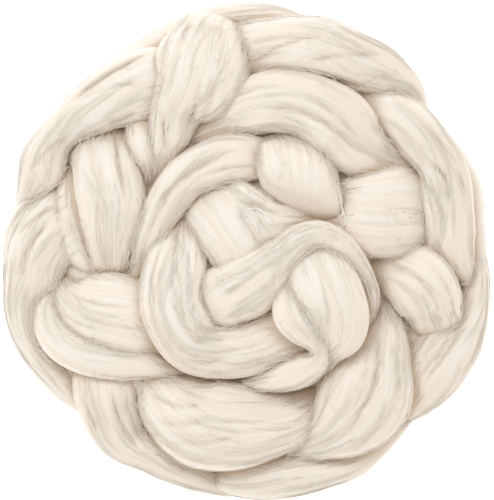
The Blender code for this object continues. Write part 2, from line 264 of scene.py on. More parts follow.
# Folds between the locks of each pass: the points in plan that the fold runs through, its depth,
# and which side of it lies over the other (1 for the left going along it).
Fold = namedtuple("Fold", "line depth lip")
FOLDS = {
    "ring_top_left": (
        Fold(((-43, 90), (-64, 80), (-82, 67)), 1.5, -1),
        Fold(((-45, 77), (-62, 74), (-78, 68)), 0.8, 1),
        Fold(((-49, 64), (-65, 57)), 1.0, -1),
        Fold(((-78, 54), (-90, 47), (-100, 36)), 0.9, -1),
    ),
    "ring_top_loop": (
        Fold(((-39, 67), (-38, 55), (-36, 45)), 1.0, 1),
        Fold(((-22, 80), (-24, 66), (-28, 50.5)), 1.0, 1),
        Fold(((-16, 77), (-18, 66), (-23, 54)), 1.1, 1),
        Fold(((-26, 102), (-34, 86)), 1.0, -1),
    ),
    "ring_left": (
        Fold(((-61, 53), (-57.5, 36), (-55, 19)), 1.5, -1),
        Fold(((-66, 40), (-65, 24), (-64, 8)), 0.6, 1),
    ),
    "rim_left": (
        Fold(((-86, 20), (-98, 13), (-108, 3.5)), 1.4, 1),
        Fold(((-89, 13), (-100, 2), (-105, -14)), 1.2, 1),
    ),
    "arch_left": (
        Fold(((-3.6, 46.4), (-22, 38), (-37, 25.5), (-44.5, 15)), 1.3, -1),
        Fold(((-31, 31), (-40, 19), (-46, 4)), 0.8, 1),
        Fold(((-8, 37), (-20, 33)), 0.6, 1),
    ),
    "ring_top_right": (
        Fold(((37.5, 99), (20, 94), (5, 84)), 1.0, 1),
        Fold(((64.6, 90), (44, 89), (23.6, 83.5)), 1.1, 1),
        Fold(((71, 77), (58, 80), (46, 80.5)), 0.9, 1),
    ),
    "arch_top": (
        Fold(((13, 66.6), (36, 58), (55, 41.7)), 1.15, 1),
        Fold(((23, 71.7), (40, 63), (50, 49.7)), 1.0, 1),
        Fold(((6, 65), (18, 64), (29, 60.7)), 0.8, -1),
        Fold(((60, 50.5), (67.6, 38)), 0.9, 1),
    ),
    "ring_right_sweep": (
        Fold(((81.5, 43), (90, 34), (93, 20)), 1.2, 1),
        Fold(((79, 60), (94, 42), (102, 20)), 0.9, 1),
    ),
    "arch_lobe": (
        Fold(((27, 28), (26.5, 22), (26, 16)), 0.8, 1),
    ),
    "ring_right": (
        Fold(((50, 31), (78, 31)), 0.5, 1),
        Fold(((48, 26), (76, 25)), 0.5, 1),
        Fold(((50, 12), (78, 10)), 0.6, -1),
    ),
    "ring_left_comb": (
        Fold(((-81, -15), (-76, -23), (-50.5, -27)), 0.8, 1),
        Fold(((-80, -27), (-66, -34), (-48, -36)), 0.6, 1),
    ),
    "rim_bottom_left": (
        Fold(((-74, -57), (-74.3, -72), (-68.5, -85)), 1.1, 1),
        Fold(((-68, -59), (-68, -72), (-60, -87)), 0.9, 1),
        Fold(((-62, -61), (-58, -79), (-47, -95)), 1.2, 1),
        Fold(((-56.5, -60), (-52, -80), (-40, -99)), 0.9, 1),
        Fold(((-23, -102), (-11, -109)), 0.8, 1),
    ),
    "ring_bottom": (
        Fold(((-47, -66), (-30, -72), (-16, -71)), 1.0, 1),
        Fold(((-44.7, -78), (-28, -80), (-11, -76)), 0.8, -1),
        Fold(((-38, -87), (-19, -88), (0, -84)), 0.8, -1),
    ),
    "inner_left": (
        Fold(((-39, 2), (-43, -14), (-41, -30)), 0.9, 1),
        Fold(((-33, -46), (-22, -51), (-8, -50)), 1.0, 1),
        Fold(((-26, -41), (-8, -41)), 0.8, -1),
    ),
    "ball_outer": (
        Fold(((43, -9), (49, -15), (54, -25)), 0.7, 1),
        Fold(((30, -8), (38, -18), (42, -32)), 0.35, 1),
    ),
    "ball_strand": (
        Fold(((20, -20), (28, -33), (33, -42)), 0.9, -1),
        Fold(((15, -24), (22, -34), (29, -41)), 0.7, -1),
    ),
    "centre_s": (
        Fold(((8, -6), (-3, -16), (-13, -24)), 0.9, 1),
        Fold(((12, -12), (3, -21.6), (-9, -27)), 0.7, 1),
        Fold(((20, 6), (32, 10), (45, 4)), 0.6, 1),
    ),
    "centre_lobe": (
        Fold(((-20, 18), (-13, 6), (-9, -3)), 0.35, 1),
        Fold(((-5, 18), (1, 10), (5, 2)), 0.9, -1),
    ),
    "centre_web": (
        Fold(((-6, 25), (2, 19), (9, 9), (12, 4)), 0.9, 1),
        Fold(((-1, 26), (8, 19), (18, 14)), 0.9, -1),
    ),
    "ring_right_low": (
        Fold(((60, -35), (58, -60), (46, -84)), 1.4, 1),
        Fold(((65, -40), (70, -55), (66, -68)), 0.9, 1),
        Fold(((56, -50), (52, -66), (42, -80)), 0.7, 1),
    ),
    "ring_right_knob": (
        Fold(((66, -7), (78, -13), (86, -24)), 1.0, 1),
        Fold(((70, -16), (78, -24), (81.5, -32)), 0.8, 1),
    ),
    "rim_right": (
        Fold(((101, -30), (92, -46), (80, -62)), 1.2, 1),
        Fold(((94, -38), (86, -50), (77, -60)), 0.9, 1),
    ),
    "rim_bottom": (
        Fold(((54, -93), (30, -98), (8, -100)), 1.0, 1),
    ),
}
FOLD_WIDTH = 1.2
FOLD_SLOPE = 3.6  # the lower side of a fold falls this many times wider than its lip
FOLD_FADE = 0.3  # share of its length over which a fold fades out at each end
FOLD_EDGE = 0.97  # folds stay inside this share of the half width
FOLD_SAMPLES = 9
# a fold gets painted shade along its line, in full from this depth
FOLD_DARKEST = 2.0  # depth from which a fold takes all of its shade

# Fineness of the lofts.
Pitch = namedtuple("Pitch", "along across")
FINE = Pitch(1.7, 0.62)
COARSE = Pitch(2.6, 1.5)
LEAST_ROWS = 8
LEAST_CROWN_POINTS = 16
TOP_REACH = math.radians(102)  # how far round from its crown a pass gets the fine pitch
CROWN_DIP = -0.1  # sine of the lowest angle round a pass that is seen from above
HIDDEN_POINTS = 14
CAP_RINGS = 9
STEPS_PER_STATION = 16

# Locks: blotches of raised wool stretched along the fibres, in turns round the pass.
Lock = namedtuple("Lock", "length width height")
LOCKS = (Lock(80.0, 15.0, 0.42), Lock(60.0, 7.0, 0.12), Lock(45.0, 3.0, 0.035))
LEAST_BLOTCHES = 3
LEAST_LOCK_SHARE = 0.35  # how narrow a pass may get, as a share, before its locks get no lower
LOCK_POWER = 1.5  # how fast the locks get lower as a pass narrows
# Shade is painted into the valleys between locks and along the splits, where shade falls among the fibres.
VALLEY_DEPTH = 0.5  # how low a valley between locks is where it takes all of its shade
VALLEY_SHADE = 0.2
DRIFT = Lock(48.0, 15.0, 1.3)  # how far aside the fibres wander, in millimetres
SPLIT_RUN = Lock(75.0, 9.0, 0.15)
SPLIT_SPREAD = Lock(42.0, 12.0, 0.5)  # a split shows where this is above its own height
# painted shade along each split
SPLIT_SHADE = 0.14
SPLIT_SIDES = (0.05, 0.35)  # steep and gentle side of a split, as shares of its run's height
EDGE_WANDER = Lock(15.0, 1.0, 0.035)  # share of the half width by which each edge is uneven

# How hollow the surface is, for the shade painted into hollows: how far it lies under the nest's mean
# height over a blur this wide, the depth from which that counts in full, and the share of painted shade that
# it then gives.
HOLLOW_CELL = 1.0
HOLLOW_SPAN = 130.0
Hollow = namedtuple("Hollow", "blur depth share")
HOLLOWS = (Hollow(1.6, 1.5, 0.3), Hollow(3.5, 3.2, 0.5), Hollow(9.0, 8.0, 0.82))
RIM_BLUR = 5.0  # hollows fade out near the outline of the nest, over this much
RIM_COVER = (0.6, 0.95)
DRAPE_BLUR = 1.6  # loose fibres lie over the nest as a sheet smoothed this much would
DRAPE_SOFTNESS = 0.6
SEEN_DEPTH = 3.0

# Maps over the pieces.
FIBRE_MAP = "Fibre"
CHART_MAP = "OFBake"
# name of the mesh attribute that holds the shade painted into folds, splits, valleys and hollows
PAINTED_SHADE = "fold_shade"
MAP_STEP = 400.0  # the map of each pass starts this much further on than the last
CHART_GAP = 3.0
CHART_GROWTH = 1.03

# Single fibres. Lengths are in millimetres. Leans, swings, strays round a pass and bends are angles.
FIBRE_POINTS = 8
FIBRE_SECTION = (1.2, 0.4)  # a fibre's half width and height, as shares of its radius
FIBRE_RADIUS = (0.5, 0.5, 2.2)  # least share of the usual radius, mean of what is added, most
THIN_RADII = (0.5, 1.0)
FIBRE_TAPER = 0.35  # power by which fibres get thin towards their ends
FIBRE_FLOOR = 0.05
FIBRE_LIFT = 0.03
FIBRE_BOW = 0.12  # how far fibres stand off the wool in the middle of their length
FIBRE_BOW_MOST = 0.6
FIBRE_ROUNDNESS = 0.15
FIBRE_SWING = 0.03
FIBRE_WAVES = (0.4, 1.1)
LONGEST_SHARE = 0.9  # of the pass that a fibre lies on
LEAST_WEIGHT = 1e-6
WISP_FIBRES = 14  # fibres that run together
WISP_LENGTHS = (18, 55)
WISP_LEAN = 0.13
WISP_SHARES = (0.6, 1.1)  # length of a fibre, as a share of its wisp's
WISP_STRAY = (4, 0.05)  # of its fibres along the pass and round it
WISP_SPREAD = 0.04  # of its fibres' leans
# dark fibres, as painted shadow, lie where the painted shade is in this range
CREASE_SHADES = (0.3, 0.85)
CREASE_LENGTHS = (5, 22)
CREASE_LEAN = 0.08
STRAY_SHARE = 0.004
FLYAWAY_LENGTHS = (4, 14)
FUZZ_LENGTHS = (2, 7)
FLYAWAY_STRAY = 0.35  # of their heading from that of the pass
FLYAWAY_BEND = 0.5
FLYAWAY_AHEAD = 3
FLYAWAY_LIFT = 0.1
FLYAWAY_RISE = (0.3, 1.2)  # mean and most

# Loose strands: their points in plan, and the number, spread, thickness and lift of their fibres.
Strand = namedtuple("Strand", "points fibres spread thickness lift")
LOOSE_STRANDS = (
    Strand((
        (41, 30), (42.2, 24.6), (42.8, 20.5), (44, 16.4), (44.9, 14), (44.6, 11.9), (42.8, 10.5),
        (40, 11.5)), 7, 0.25, 2.0, 0.7),
    Strand(((42, 26), (43, 21), (43.6, 18.1), (43.2, 15.6), (41.5, 13.8), (39.5, 12.6)), 5, 0.25, 1.8, 0.5),
    Strand((
        (-4, 17.5), (-0.3, 18.5), (2.9, 19), (5.4, 18.5), (8.3, 16.4), (11.2, 14), (14.4, 11.9)),
        8, 0.2, 2.5, 0.35),
    Strand(((-3, 20), (-0.8, 17.3), (1.3, 14.8), (3.4, 11.9), (4.6, 9.4), (5.6, 6.6)), 8, 0.2, 2.5, 0.35),
    Strand(((-6, 20), (-3.6, 15), (-1, 10), (1, 5)), 8, 0.9, 1.6, 0.25),
    Strand(((31, -38), (27.5, -33), (24, -29)), 6, 0.6, 1.2, 0.25),
    Strand(((14, 30), (15, 36), (17, 42)), 6, 1.0, 1.0, 0.2),
)
STRAND_POINTS = 16
STRAND_STARTS = (0, 0.15)
STRAND_ENDS = (0.8, 1)
STRAND_WANDER = 0.5
STRAND_WAVES = (0.5, 1)
STRAND_LIFTS = (0.5, 1)
STRAND_SEED = 41

# Streaks of combed fibre in the material: blotches per metre along the fibres, their width in
# pitches, their detail, and their weight in the tone.
Streaks = namedtuple("Streaks", "per_metre pitches detail tone", defaults=(0,))
BROAD_STREAKS = Streaks(14.0, 5.0, 2.0, 0.38)
MIDDLE_STREAKS = Streaks(26.0, 1.8, 2.0, 0.25)
THIN_STREAKS = Streaks(45.0, 0.7, 1.0, 0.42)
THIN_PATCHES = Streaks(20.0, 9.0, 1.0)  # where the thin streaks show
COOL_PATCHES = Streaks(11.0, 12.0, 2.0)
STREAK_PITCH = 0.0006
STREAK_WANDER = 0.0012  # how far aside the streaks drift, in metres
STREAK_DRIFT = (28.0, 0.009, 1.0)  # its blotches per metre, their width in metres, and their detail
STREAK_NOISE_ROUGHNESS = 0.6
TONE_LEVEL = 0.185
RELIEF_SHARE = 0.5  # of the middle and of the thin streaks in the relief
TONE_RANGE = (0.31, 0.69)
PATCH_RANGE = (0.38, 0.62)
COOL_RANGE = (0.35, 0.65)
RELIEF_STRENGTH = 0.7
STREAK_ROUGHNESS = (0.7, 0.5)  # of the darkest and the palest streaks
INSIDE_PITCH = 0.0012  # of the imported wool's streaks
FIBRE_LEVELS = (0.9, 1.0)  # of the darker and the paler single fibres, as shares of their colour
FIBRE_ROUGHNESS = 0.5
FIBRE_NOISE = 90.0
SPOT_STEP = 0.2  # share of a fibre's own spot of the map that its faces span
MIX_SOCKETS = ((0, 6, 7), 2)  # factor and colours that go into a colour mix, and what comes out
# What is the same all over wool: its weak gloss, its sheen and the light that passes in it.
WOOL_FINISH = {
    "Metallic": 0.0,
    "IOR": 1.5,
    "Specular IOR Level": 0.35,
    "Sheen Roughness": 0.4,
    "Sheen Tint": (1.0, 0.96, 0.9, 1.0),
    "Subsurface Radius": (1.0, 1.0, 1.0),
    "Subsurface Scale": 0.0035,
}

# Stage. Places and sizes of the light and the camera are in metres.
WHITE = (1.0, 1.0, 1.0, 1.0)
FLOOR_REACH = 3000.0
FLOOR_DROP = 0.0004
FLOOR_ROUGHNESS = 0.9
LIGHT_COLOUR = (0.87, 0.945, 1.0)
LIGHT_PLACE = (-0.5, 0.78, 1.93)
LIGHT_SIZE = 1.4
ROOM_COLOUR = (1.0, 0.957, 0.895, 1.0)
SENSOR_WIDTH = 36.0
COIL_HEIGHT = 0.03  # of the plane in which the view height is measured


def blend_points(points, steps):
    """Smooth (Catmull-Rom) run of values through the given rows, ends included."""
    rows = np.array(points, float)
    rows = np.vstack([2 * rows[0] - rows[1], rows, 2 * rows[-1] - rows[-2]])
    t = (np.arange(steps) / steps)[None, :, None]
    a, b, c, d = (rows[i:len(rows) - 3 + i, None, :] for i in range(4))
    run = b + 0.5 * t * (c - a + t * (2 * a - 5 * b + 4 * c - d + t * (3 * (b - c) + d - a)))
    return np.vstack([run.reshape(-1, rows.shape[1]), rows[-2]])


def gone_along(line):
    """Length gone at each point of a line."""
    return np.concatenate([[0], np.cumsum(np.linalg.norm(np.diff(line, axis=0), axis=1))])


def even_run(stations, pitch):
    """Rows at an even pitch along the smooth line through the stations."""
    run = blend_points(stations, STEPS_PER_STATION)
    gone = gone_along(run[:, :2])
    even = np.linspace(0, gone[-1], max(LEAST_ROWS, round(gone[-1] / pitch) + 1))
    return np.stack([np.interp(even, gone, column) for column in run.T], axis=1)


def plunge(share, heights):
    """Height of a lobe's middle: level at its crest, leaving it towards both ends."""
    start, crest, end = heights
    from_start = max(0, 1 - share / PLUNGE_SHARE) ** 2
    from_end = max(0, 1 - (1 - share) / PLUNGE_SHARE) ** 2
    return crest - (crest - start) * from_start - (crest - end) * from_end


def unit(vectors):
    """Vectors at a length of one."""
    return vectors / np.maximum(np.linalg.norm(vectors, axis=-1, keepdims=True), 1e-9)


def eased(share):
    """Smooth step from 0 to 1."""
    return share * share * (3 - 2 * share)


def turned(first, second, angle):
    """Two measures at right angles, turned from the first towards the second."""
    c, s = np.cos(angle), np.sin(angle)
    return first * c - second * s, second * c + first * s


def between(grid, i, j, k, u, v):
    """Values between rows i and i + 1 of a grid and between its columns j and k."""
    low = grid[i, j] * (1 - v) + grid[i, k] * v
    high = grid[i + 1, j] * (1 - v) + grid[i + 1, k] * v
    return low * (1 - u) + high * u


def blotches(rng, along, across, lock, round_size):
    """Smooth values about zero, stretched along the fibres. across is in turns round the pass."""
    cells = max(LEAST_BLOTCHES, round(round_size / lock.width))
    a = (along - along.min()) / lock.length
    b = (across % 1) * cells
    lattice = rng.normal(0, 1, (int(a.max()) + 3, cells))
    i, j = a.astype(int), b.astype(int)
    return between(lattice, i, j % cells, (j + 1) % cells, eased(a - i), eased(b - j))


def capped(sizes, end):
    """Sizes along a pass with its rounded ends, where they shrink by the given shares."""
    return np.pad(sizes, CAP_RINGS, "edge") * np.concatenate([end[::-1], np.ones(len(sizes)), end])


class Skin:
    """One pass as a grid of points: rows along it, columns round it."""

    def __init__(self, row, pitch, seed, looks, folds=()):
        self.rng = np.random.default_rng(seed)
        run = even_run(row.stations, pitch.along)
        line = run[:, :3]
        half_width = np.maximum(run[:, 3], LEAST_HALF_WIDTH)
        half_depth = DEPTH_AT_NO_WIDTH + DEPTH_PER_HALF_WIDTH * half_width
        self.girth = math.pi * (half_width.max() + half_depth.max())
        along = unit(np.gradient(line, axis=0))
        # rounded ends
        turn = math.pi / 2 * np.arange(1, CAP_RINGS + 1) / (CAP_RINGS + 1)
        reach = np.minimum(half_width, half_depth)
        first = line[0] - along[0] * (np.sin(turn[::-1]) * reach[0])[:, None]
        last = line[-1] + along[-1] * (np.sin(turn) * reach[-1])[:, None]
        self.line = np.vstack([first, line, last])
        self.half_width = capped(half_width, (1 - np.sin(turn) ** row.blunt) ** (1 / row.blunt))
        half_depth = capped(half_depth, np.cos(turn))
        along = np.pad(along, ((CAP_RINGS, CAP_RINGS), (0, 0)), "edge")
        self.gone = gone_along(self.line)
        self.share = np.interp(self.gone, self.gone[CAP_RINGS:-CAP_RINGS], np.linspace(0, 1, len(run)))
        # angles round the section, fine over the crown and coarse beneath
        fine = max(LEAST_CROWN_POINTS, round(self.girth * TOP_REACH / math.pi / pitch.across))
        left_end, right_end = math.pi / 2 + TOP_REACH, math.pi / 2 - TOP_REACH
        crown = np.linspace(right_end, left_end, fine, endpoint=False)
        below = np.linspace(left_end, right_end + math.tau, HIDDEN_POINTS, endpoint=False)
        self.angle = np.concatenate([crown, below])
        c, s = np.cos(self.angle), np.sin(self.angle)
        power = SECTION_SQUARENESS
        out = (np.abs(c) ** power + np.abs(s) ** power) ** (-1 / power)
        # the section's two directions, rolled and yawed
        across = unit(np.column_stack([-along[:, 1], along[:, 0], np.zeros(len(along))]))
        upward = unit(np.cross(along, across))
        across, upward = turned(across, upward, math.radians(row.roll))
        x, y = turned(across[:, 0], across[:, 1], math.radians(row.yaw) * np.clip(self.share, 0, 1))
        across = np.column_stack([x, y, across[:, 2]])
        # a low crown over a deep belly
        tall = np.where(s > 0, row.crown, 2 - row.crown)
        lifted = (1 - row.crown) * half_depth
        left, right = self.uneven_edges(), self.uneven_edges()
        uneven = np.where(c > 0, left[:, None], right[:, None])
        self.points = (
            self.line[:, None, :] + lifted[:, None, None] * np.array([0, 0, 1])
            + across[:, None, :] * (out * c * uneven * self.half_width[:, None])[..., None]
            + upward[:, None, :] * (out * s * tall)[None, :, None] * half_depth[:, None, None]
        )
        self.turns = self.angle[None, :] / math.tau + row.twist * self.share[:, None]
        self.shade = np.zeros(self.turns.shape)
        self.raise_locks(looks)
        for fold in folds:
            self.press_fold(fold, looks)

    def normals(self):
        """Directions out of the skin at its points."""
        around = np.roll(self.points, -1, axis=1) - np.roll(self.points, 1, axis=1)
        forward = np.gradient(self.points, axis=0)
        return unit(np.cross(around, forward))

    def uneven_edges(self):
        """Share of its half width that one edge of the pass reaches, along it."""
        knots = np.arange(0, self.gone[-1] + 2 * EDGE_WANDER.length, EDGE_WANDER.length)
        rows = np.column_stack([self.rng.normal(0, 1, len(knots)), knots])
        smooth = blend_points(rows, STEPS_PER_STATION)
        return 1 + EDGE_WANDER.height * np.interp(self.gone, smooth[:, 1], smooth[:, 0])

    def raise_locks(self, looks):
        """Locks of wool that run along the fibres, with splits between some of them, and shade painted into
        the valleys and splits.
        """
        size = np.clip(self.half_width / self.half_width.max(), LEAST_LOCK_SHARE, 1)[:, None] ** LOCK_POWER
        along = np.broadcast_to(self.gone[:, None], self.turns.shape)
        drift = DRIFT.height / self.girth * blotches(self.rng, along, self.turns, DRIFT, self.girth)
        turns = self.turns + drift
        height = np.zeros(self.turns.shape)
        for lock in LOCKS:
            height += lock.height * blotches(self.rng, along, turns, lock, self.girth)
        # painted shade in the valleys between the locks
        self.shade = np.maximum(self.shade, VALLEY_SHADE * np.clip(-height / VALLEY_DEPTH, 0, 1) * size)
        run = blotches(self.rng, along, turns, SPLIT_RUN, self.girth)
        spread = blotches(self.rng, along, turns, SPLIT_SPREAD, self.girth)
        spread = np.clip(spread - SPLIT_SPREAD.height, 0, 1)
        steep, gentle = SPLIT_SIDES
        split = np.where(run < 0, np.exp(run / steep), np.exp(-run / gentle)) * spread
        height -= SPLIT_RUN.height * split
        # painted shade along the steep side of each split
        line = np.exp(-(run / (2 * steep)) ** 2) * spread
        self.shade = np.maximum(self.shade, SPLIT_SHADE * line * size)
        self.points = self.points + self.normals() * (height * size * looks.lock_height)[..., None]

    def nearest(self, place):
        """Share along the pass and place across it (1 left, -1 right) of a point in plan."""
        offset = np.array(place, float) - self.line[:, :2]
        i = int(np.argmin(np.hypot(*offset.T)))
        forward = unit((self.line[min(i + 1, len(self.line) - 1)] - self.line[max(i - 1, 0)])[:2])
        left = offset[i, 1] * forward[0] - offset[i, 0] * forward[1]
        share = self.share[i] + float(offset[i] @ forward) / self.gone[-1]
        return share, float(np.clip(left / max(self.half_width[i], 1), -FOLD_EDGE, FOLD_EDGE))

    def press_fold(self, fold, looks):
        """A fold along the fibres, sharp at its lip and sloping on the side that goes under, with shade
        painted along its line.
        """
        spots = self.fold_spots(fold)
        lip = fold.lip
        if self.nearest(fold.line[0])[0] > self.nearest(fold.line[-1])[0]:
            lip = -lip
        at = np.interp(self.share, spots[:, 0], spots[:, 1])
        t = (self.share - spots[0, 0]) / max(spots[-1, 0] - spots[0, 0], 1e-3)
        fade = eased(np.clip(t / FOLD_FADE, 0, 1) * np.clip((1 - t) / FOLD_FADE, 0, 1))[:, None]
        side = np.cos(self.angle)[None, :] - at[:, None]
        off = side * self.half_width[:, None] * lip
        top = np.sin(self.angle)[None, :] > CROWN_DIP
        sharp = np.exp(-np.maximum(off, 0) / FOLD_WIDTH)
        slope = np.exp(np.minimum(off, 0) / (FOLD_WIDTH * FOLD_SLOPE))
        press = fold.depth * np.where(off > 0, sharp, slope) * fade * top
        self.points = self.points - self.normals() * (press * looks.fold_depth)[..., None]
        # painted shade along the fold's line
        line = np.exp(-(off / FOLD_WIDTH) ** 2) * fade * top
        self.shade = np.maximum(self.shade, line * min(1, fold.depth / FOLD_DARKEST))

    def fold_spots(self, fold):
        """Share along the pass and place across it of points on a fold's smooth line."""
        spots = np.array([self.nearest(place) for place in blend_points(fold.line, FOLD_SAMPLES)])
        if spots[0, 0] > spots[-1, 0]:
            spots = spots[::-1]
        ahead = np.maximum.accumulate(spots[:, 0])
        going_on = np.append(True, spots[1:, 0] > ahead[:-1] + 1e-4)
        return spots[going_on]

    def mark_seen(self, drape):
        """Marks, with their share of the skin, the points that no other wool covers."""
        covered = map_at(drape, self.points) - self.points[..., 2]
        crown = np.sin(self.angle)[None, :] > CROWN_DIP
        self.seen = ((covered < SEEN_DEPTH) & crown) * np.gradient(self.gone)[:, None]

    def lie_flat(self, lift):
        """Flattens what would come lower than a little over the table."""
        self.points[..., 2] = np.maximum(self.points[..., 2], lift)

    def surface_at(self, gone, angle):
        """Points and normals of the skin at lengths along it and angles round it."""
        rows, cols = self.turns.shape
        i = np.clip(np.interp(gone, self.gone, np.arange(rows)), 0, rows - 1.001)
        turn = (angle - self.angle[0]) % math.tau + self.angle[0]
        j = np.interp(turn, np.append(self.angle, self.angle[0] + math.tau), np.arange(cols + 1))
        row, col = i.astype(int), np.minimum(j.astype(int), cols - 1)
        u, v = (i - row)[..., None], (j - col)[..., None]
        points, normals = (
            between(grid, row, col, (col + 1) % cols, u, v) for grid in (self.points, self.normals()))
        return points, unit(normals)

    def pick_spots(self, weight, count):
        """Lengths along the skin and angles round it of points picked at random by weight."""
        spot = self.rng.choice(weight.size, count, p=weight.ravel() / weight.ravel().sum())
        return self.gone[spot // len(self.angle)], self.angle[spot % len(self.angle)]

    def creased_weight(self):
        """Weight for dark fibres at each point, which follows the painted shade of the creases."""
        low, high = CREASE_SHADES
        creased = (self.shade > low) & (self.shade < high)
        return self.shade ** 2 * creased * self.seen + LEAST_WEIGHT


def blurred(heights, cells):
    """A square map smoothed by a bell that many cells wide."""
    reach = np.fft.fftfreq(len(heights))
    bell = np.exp(-2 * (math.pi * cells * reach) ** 2)
    return np.fft.ifft2(np.fft.fft2(heights) * bell[:, None] * bell[None, :]).real


def top_heights(skins):
    """Height of the uppermost wool over a square grid of cells, none below the table."""
    cells = int(2 * HOLLOW_SPAN / HOLLOW_CELL)
    heights = np.zeros((cells, cells))
    for skin in skins:
        halfway = (skin.points[:-1] + skin.points[1:]) / 2
        points = np.concatenate([skin.points.reshape(-1, 3), halfway.reshape(-1, 3)])
        i = ((points[:, :2] + HOLLOW_SPAN) / HOLLOW_CELL).astype(int)
        np.maximum.at(heights, (i[:, 0], i[:, 1]), points[:, 2])
    return heights


def map_at(values, points):
    """Values of a square map at points in plan."""
    place = (points[..., :2] + HOLLOW_SPAN) / HOLLOW_CELL - 0.5
    cell = place.astype(int)
    u, v = np.moveaxis(place - cell, -1, 0)
    i, j = np.moveaxis(cell, -1, 0)
    return between(values, i, j, j + 1, u, v)


def spread_most(heights, reach):
    """The highest value of a square map within a reach of each cell; the lowest if it is below 0."""
    pick = np.maximum if reach > 0 else np.minimum
    cells = math.ceil(abs(reach) / HOLLOW_CELL)
    found = heights
    for i in range(-cells, cells + 1):
        for j in range(-cells, cells + 1):
            if math.hypot(i, j) * HOLLOW_CELL <= abs(reach):
                found = pick(found, np.roll(heights, (i, j), (0, 1)))
    return found


def bed_heights(heights):
    """Height of packed wool that fills the narrow pits of a map, a little below their brink."""
    filled = spread_most(spread_most(heights, BED_GAP), -BED_GAP - BED_INSET)
    return blurred(filled, BED_SOFTNESS) - BED_DEPTH


def shade_hollows(skins, heights):
    """Adds to each skin's painted shade how far it lies below the wool round it, where shade falls. Gives the
    draped height.
    """
    blurs = [blurred(heights, hollow.blur / HOLLOW_CELL) for hollow in HOLLOWS]
    cover = blurred((heights > 0).astype(float), RIM_BLUR / HOLLOW_CELL)
    low, high = RIM_COVER
    for skin in skins:
        shade = np.zeros(skin.shade.shape)
        for hollow, blur in zip(HOLLOWS, blurs):
            sunk = np.clip((map_at(blur, skin.points) - skin.points[..., 2]) / hollow.depth, 0, 1)
            shade += hollow.share * sunk * sunk * (3 - 2 * sunk)
        shade *= np.clip((map_at(cover, skin.points) - low) / (high - low), 0, 1)
        skin.shade = np.clip(np.maximum(skin.shade, shade), 0, 1)
    draped = np.maximum(heights, blurred(heights, DRAPE_BLUR / HOLLOW_CELL))
    return blurred(draped, DRAPE_SOFTNESS / HOLLOW_CELL)


def chart_places(skins):
    """Lower left corner of each skin's chart in a unit square, and the charts' scale."""
    sizes = [(skin.gone[-1] + CHART_GAP, skin.girth + CHART_GAP) for skin in skins]
    order = sorted(range(len(skins)), key=lambda i: -sizes[i][1])
    side = math.sqrt(sum(w * h for w, h in sizes))
    while True:
        x = y = shelf = 0.0
        places = [None] * len(skins)
        for i in order:
            width, height = sizes[i]
            if x + width > side:
                x, y, shelf = 0.0, y + shelf, 0.0
            places[i] = (x, y)
            x += width
            shelf = max(shelf, height)
        if y + shelf <= side and max(w for w, _ in sizes) <= side:
            return places, side
        side *= CHART_GROWTH


def tube_faces(rows, cols, base):
    """Quads of a grid closed round its columns and triangles of its two ends, as vertex numbers."""
    i, j = np.meshgrid(np.arange(rows - 1), np.arange(cols), indexing="ij")
    k = (j + 1) % cols
    quads = np.stack([i * cols + j, i * cols + k, (i + 1) * cols + k, (i + 1) * cols + j], -1)
    j, k = j[0], k[0]
    first = np.full(cols, rows * cols)
    top = (rows - 1) * cols
    tris = np.concatenate([np.stack([first, k, j], -1), np.stack([first + 1, top + j, top + k], -1)])
    return base + quads.reshape(-1, 4), base + tris


def corners_of(skin, across):
    """A map's values at the corners of the quads and end triangles. across runs 0 to cols."""
    rows, cols = skin.turns.shape
    along = skin.gone
    i, j = np.meshgrid(np.arange(rows - 1), np.arange(cols), indexing="ij")
    around = [(i, j), (i, j + 1), (i + 1, j + 1), (i + 1, j)]
    quads = np.stack([np.stack([along[a], across[a, b]], -1) for a, b in around], 2).reshape(-1, 2)
    j = j[0]
    ends = []
    for row, order in ((0, (1, 0)), (rows - 1, (0, 1))):
        middle = (across[row, j] + across[row, j + 1]) / 2
        ring = [across[row, j + step] for step in order]
        ends.append(np.stack([np.stack([np.full(cols, along[row]), v], -1) for v in (middle, *ring)], 1))
    return quads, np.concatenate(ends).reshape(-1, 2)


def fill_mesh(name, verts, quads, tris):
    """New mesh object from arrays of vertices in millimetres and of faces."""
    mesh = bpy.data.meshes.new(name)
    mesh.vertices.add(len(verts))
    mesh.vertices.foreach_set("co", (verts * MM).astype(np.float32).ravel())
    loops = np.concatenate([quads.ravel(), tris.ravel()])
    mesh.loops.add(len(loops))
    mesh.loops.foreach_set("vertex_index", loops.astype(np.int32))
    starts = np.concatenate([np.arange(len(quads)) * 4, len(quads) * 4 + np.arange(len(tris)) * 3])
    mesh.polygons.add(len(starts))
    mesh.polygons.foreach_set("loop_start", starts.astype(np.int32))
    mesh.polygons.foreach_set("use_smooth", np.ones(len(starts), bool))
    mesh.update(calc_edges=True)
    mesh.validate()
    made = bpy.data.objects.new(name, mesh)
    bpy.context.scene.collection.objects.link(made)
    return made


def add_map(made, name, values):
    """Places of a piece's corners on a flat map."""
    layer = made.data.uv_layers.new(name=name)
    layer.data.foreach_set("uv", values.astype(np.float32).ravel())


def add_shade(made, values):
    """Painted shade at each point of a piece: how hollow or creased it is there."""
    layer = made.data.attributes.new(PAINTED_SHADE, "FLOAT", "POINT")
    layer.data.foreach_set("value", values.astype(np.float32))


def own(made, material):
    """Gives a piece its material and marks it as part of the nest, in place of its solid."""
    made.data.materials.append(material)
    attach(made, BODY)
    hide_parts(NODE)


